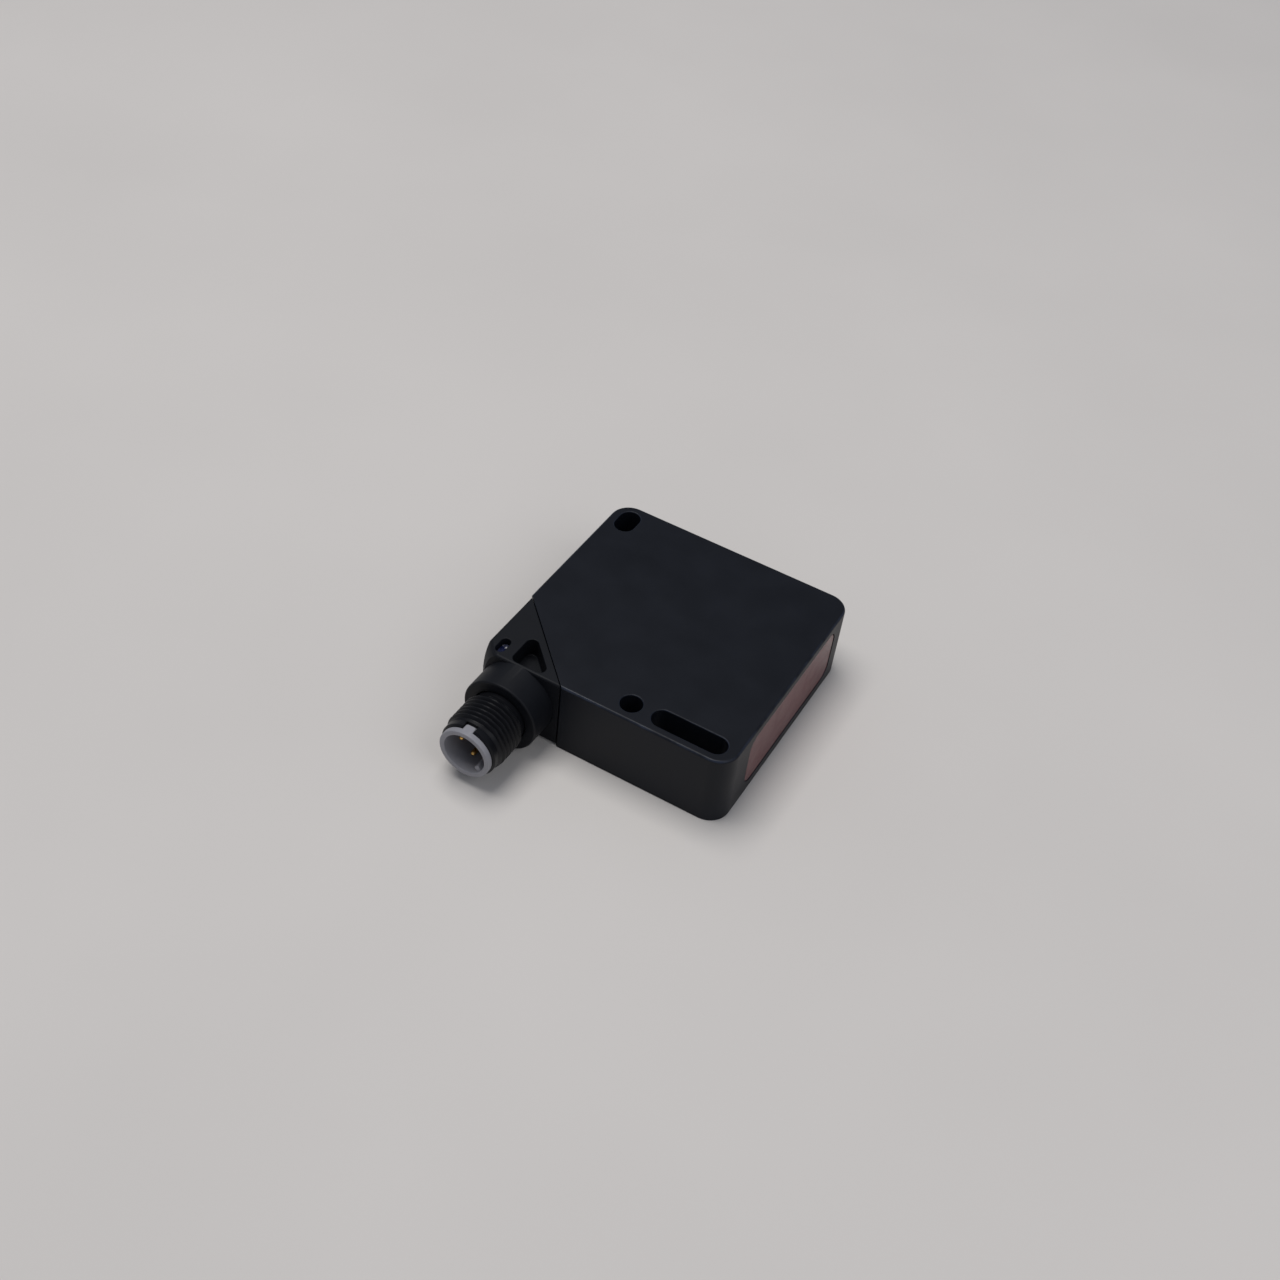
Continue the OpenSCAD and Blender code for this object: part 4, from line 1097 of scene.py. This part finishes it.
class SENSOR_OT_adjuster(PieceOperator, bpy.types.Operator):
    """Make the sensing range adjuster"""
    bl_idname = "sensor.make_adjuster"
    bl_label = "Adjuster"
    maker = make_adjuster


class SENSOR_OT_light_guides(PieceOperator, bpy.types.Operator):
    """Make the two light guides"""
    bl_idname = "sensor.make_light_guides"
    bl_label = "Light guides"
    maker = make_light_guides


class SENSOR_OT_inside(PieceOperator, bpy.types.Operator):
    """Finish the pins, seals and inner pieces"""
    bl_idname = "sensor.finish_inside"
    bl_label = "Pins, seals and inner pieces"
    maker = paint_inside


class SENSOR_OT_stage(bpy.types.Operator):
    """Set the floor, lights and camera"""
    bl_idname = "sensor.make_stage"
    bl_label = "Stage"

    def execute(self, context):
        make_stage(context.scene.sensor_view, context.scene.sensor_colours)
        return {"FINISHED"}


OPERATORS = (
    SENSOR_OT_stage, SENSOR_OT_housing, SENSOR_OT_cover, SENSOR_OT_window, SENSOR_OT_elbow,
    SENSOR_OT_resin, SENSOR_OT_barrel, SENSOR_OT_carrier, SENSOR_OT_adjuster,
    SENSOR_OT_light_guides, SENSOR_OT_inside,
)


class SENSOR_PT_pieces(bpy.types.Panel):
    """Lists the pieces, one button each"""
    bl_label = "Sensor"
    bl_idname = "SENSOR_PT_pieces"
    bl_space_type = "VIEW_3D"
    bl_region_type = "UI"
    bl_category = "Sensor"

    def draw(self, context):
        column = self.layout.column(align=True)
        for operator in OPERATORS:
            column.operator(operator.bl_idname)


GROUPS = {"sensor_sizes": SensorSizes, "sensor_colours": SensorColours, "sensor_view": SensorView}


def register():
    for group in GROUPS.values():
        bpy.utils.register_class(group)
    for name, group in GROUPS.items():
        setattr(bpy.types.Scene, name, PointerProperty(type=group))
    for cls in (*OPERATORS, SENSOR_PT_pieces):
        bpy.utils.register_class(cls)


def unregister():
    for cls in (SENSOR_PT_pieces, *reversed(OPERATORS)):
        bpy.utils.unregister_class(cls)
    for name, group in GROUPS.items():
        delattr(bpy.types.Scene, name)
        bpy.utils.unregister_class(group)


def main():
    register()
    for operator in OPERATORS:
        group, name = operator.bl_idname.split(".")
        getattr(getattr(bpy.ops, group), name)()


if __name__ == "__main__":
    main()
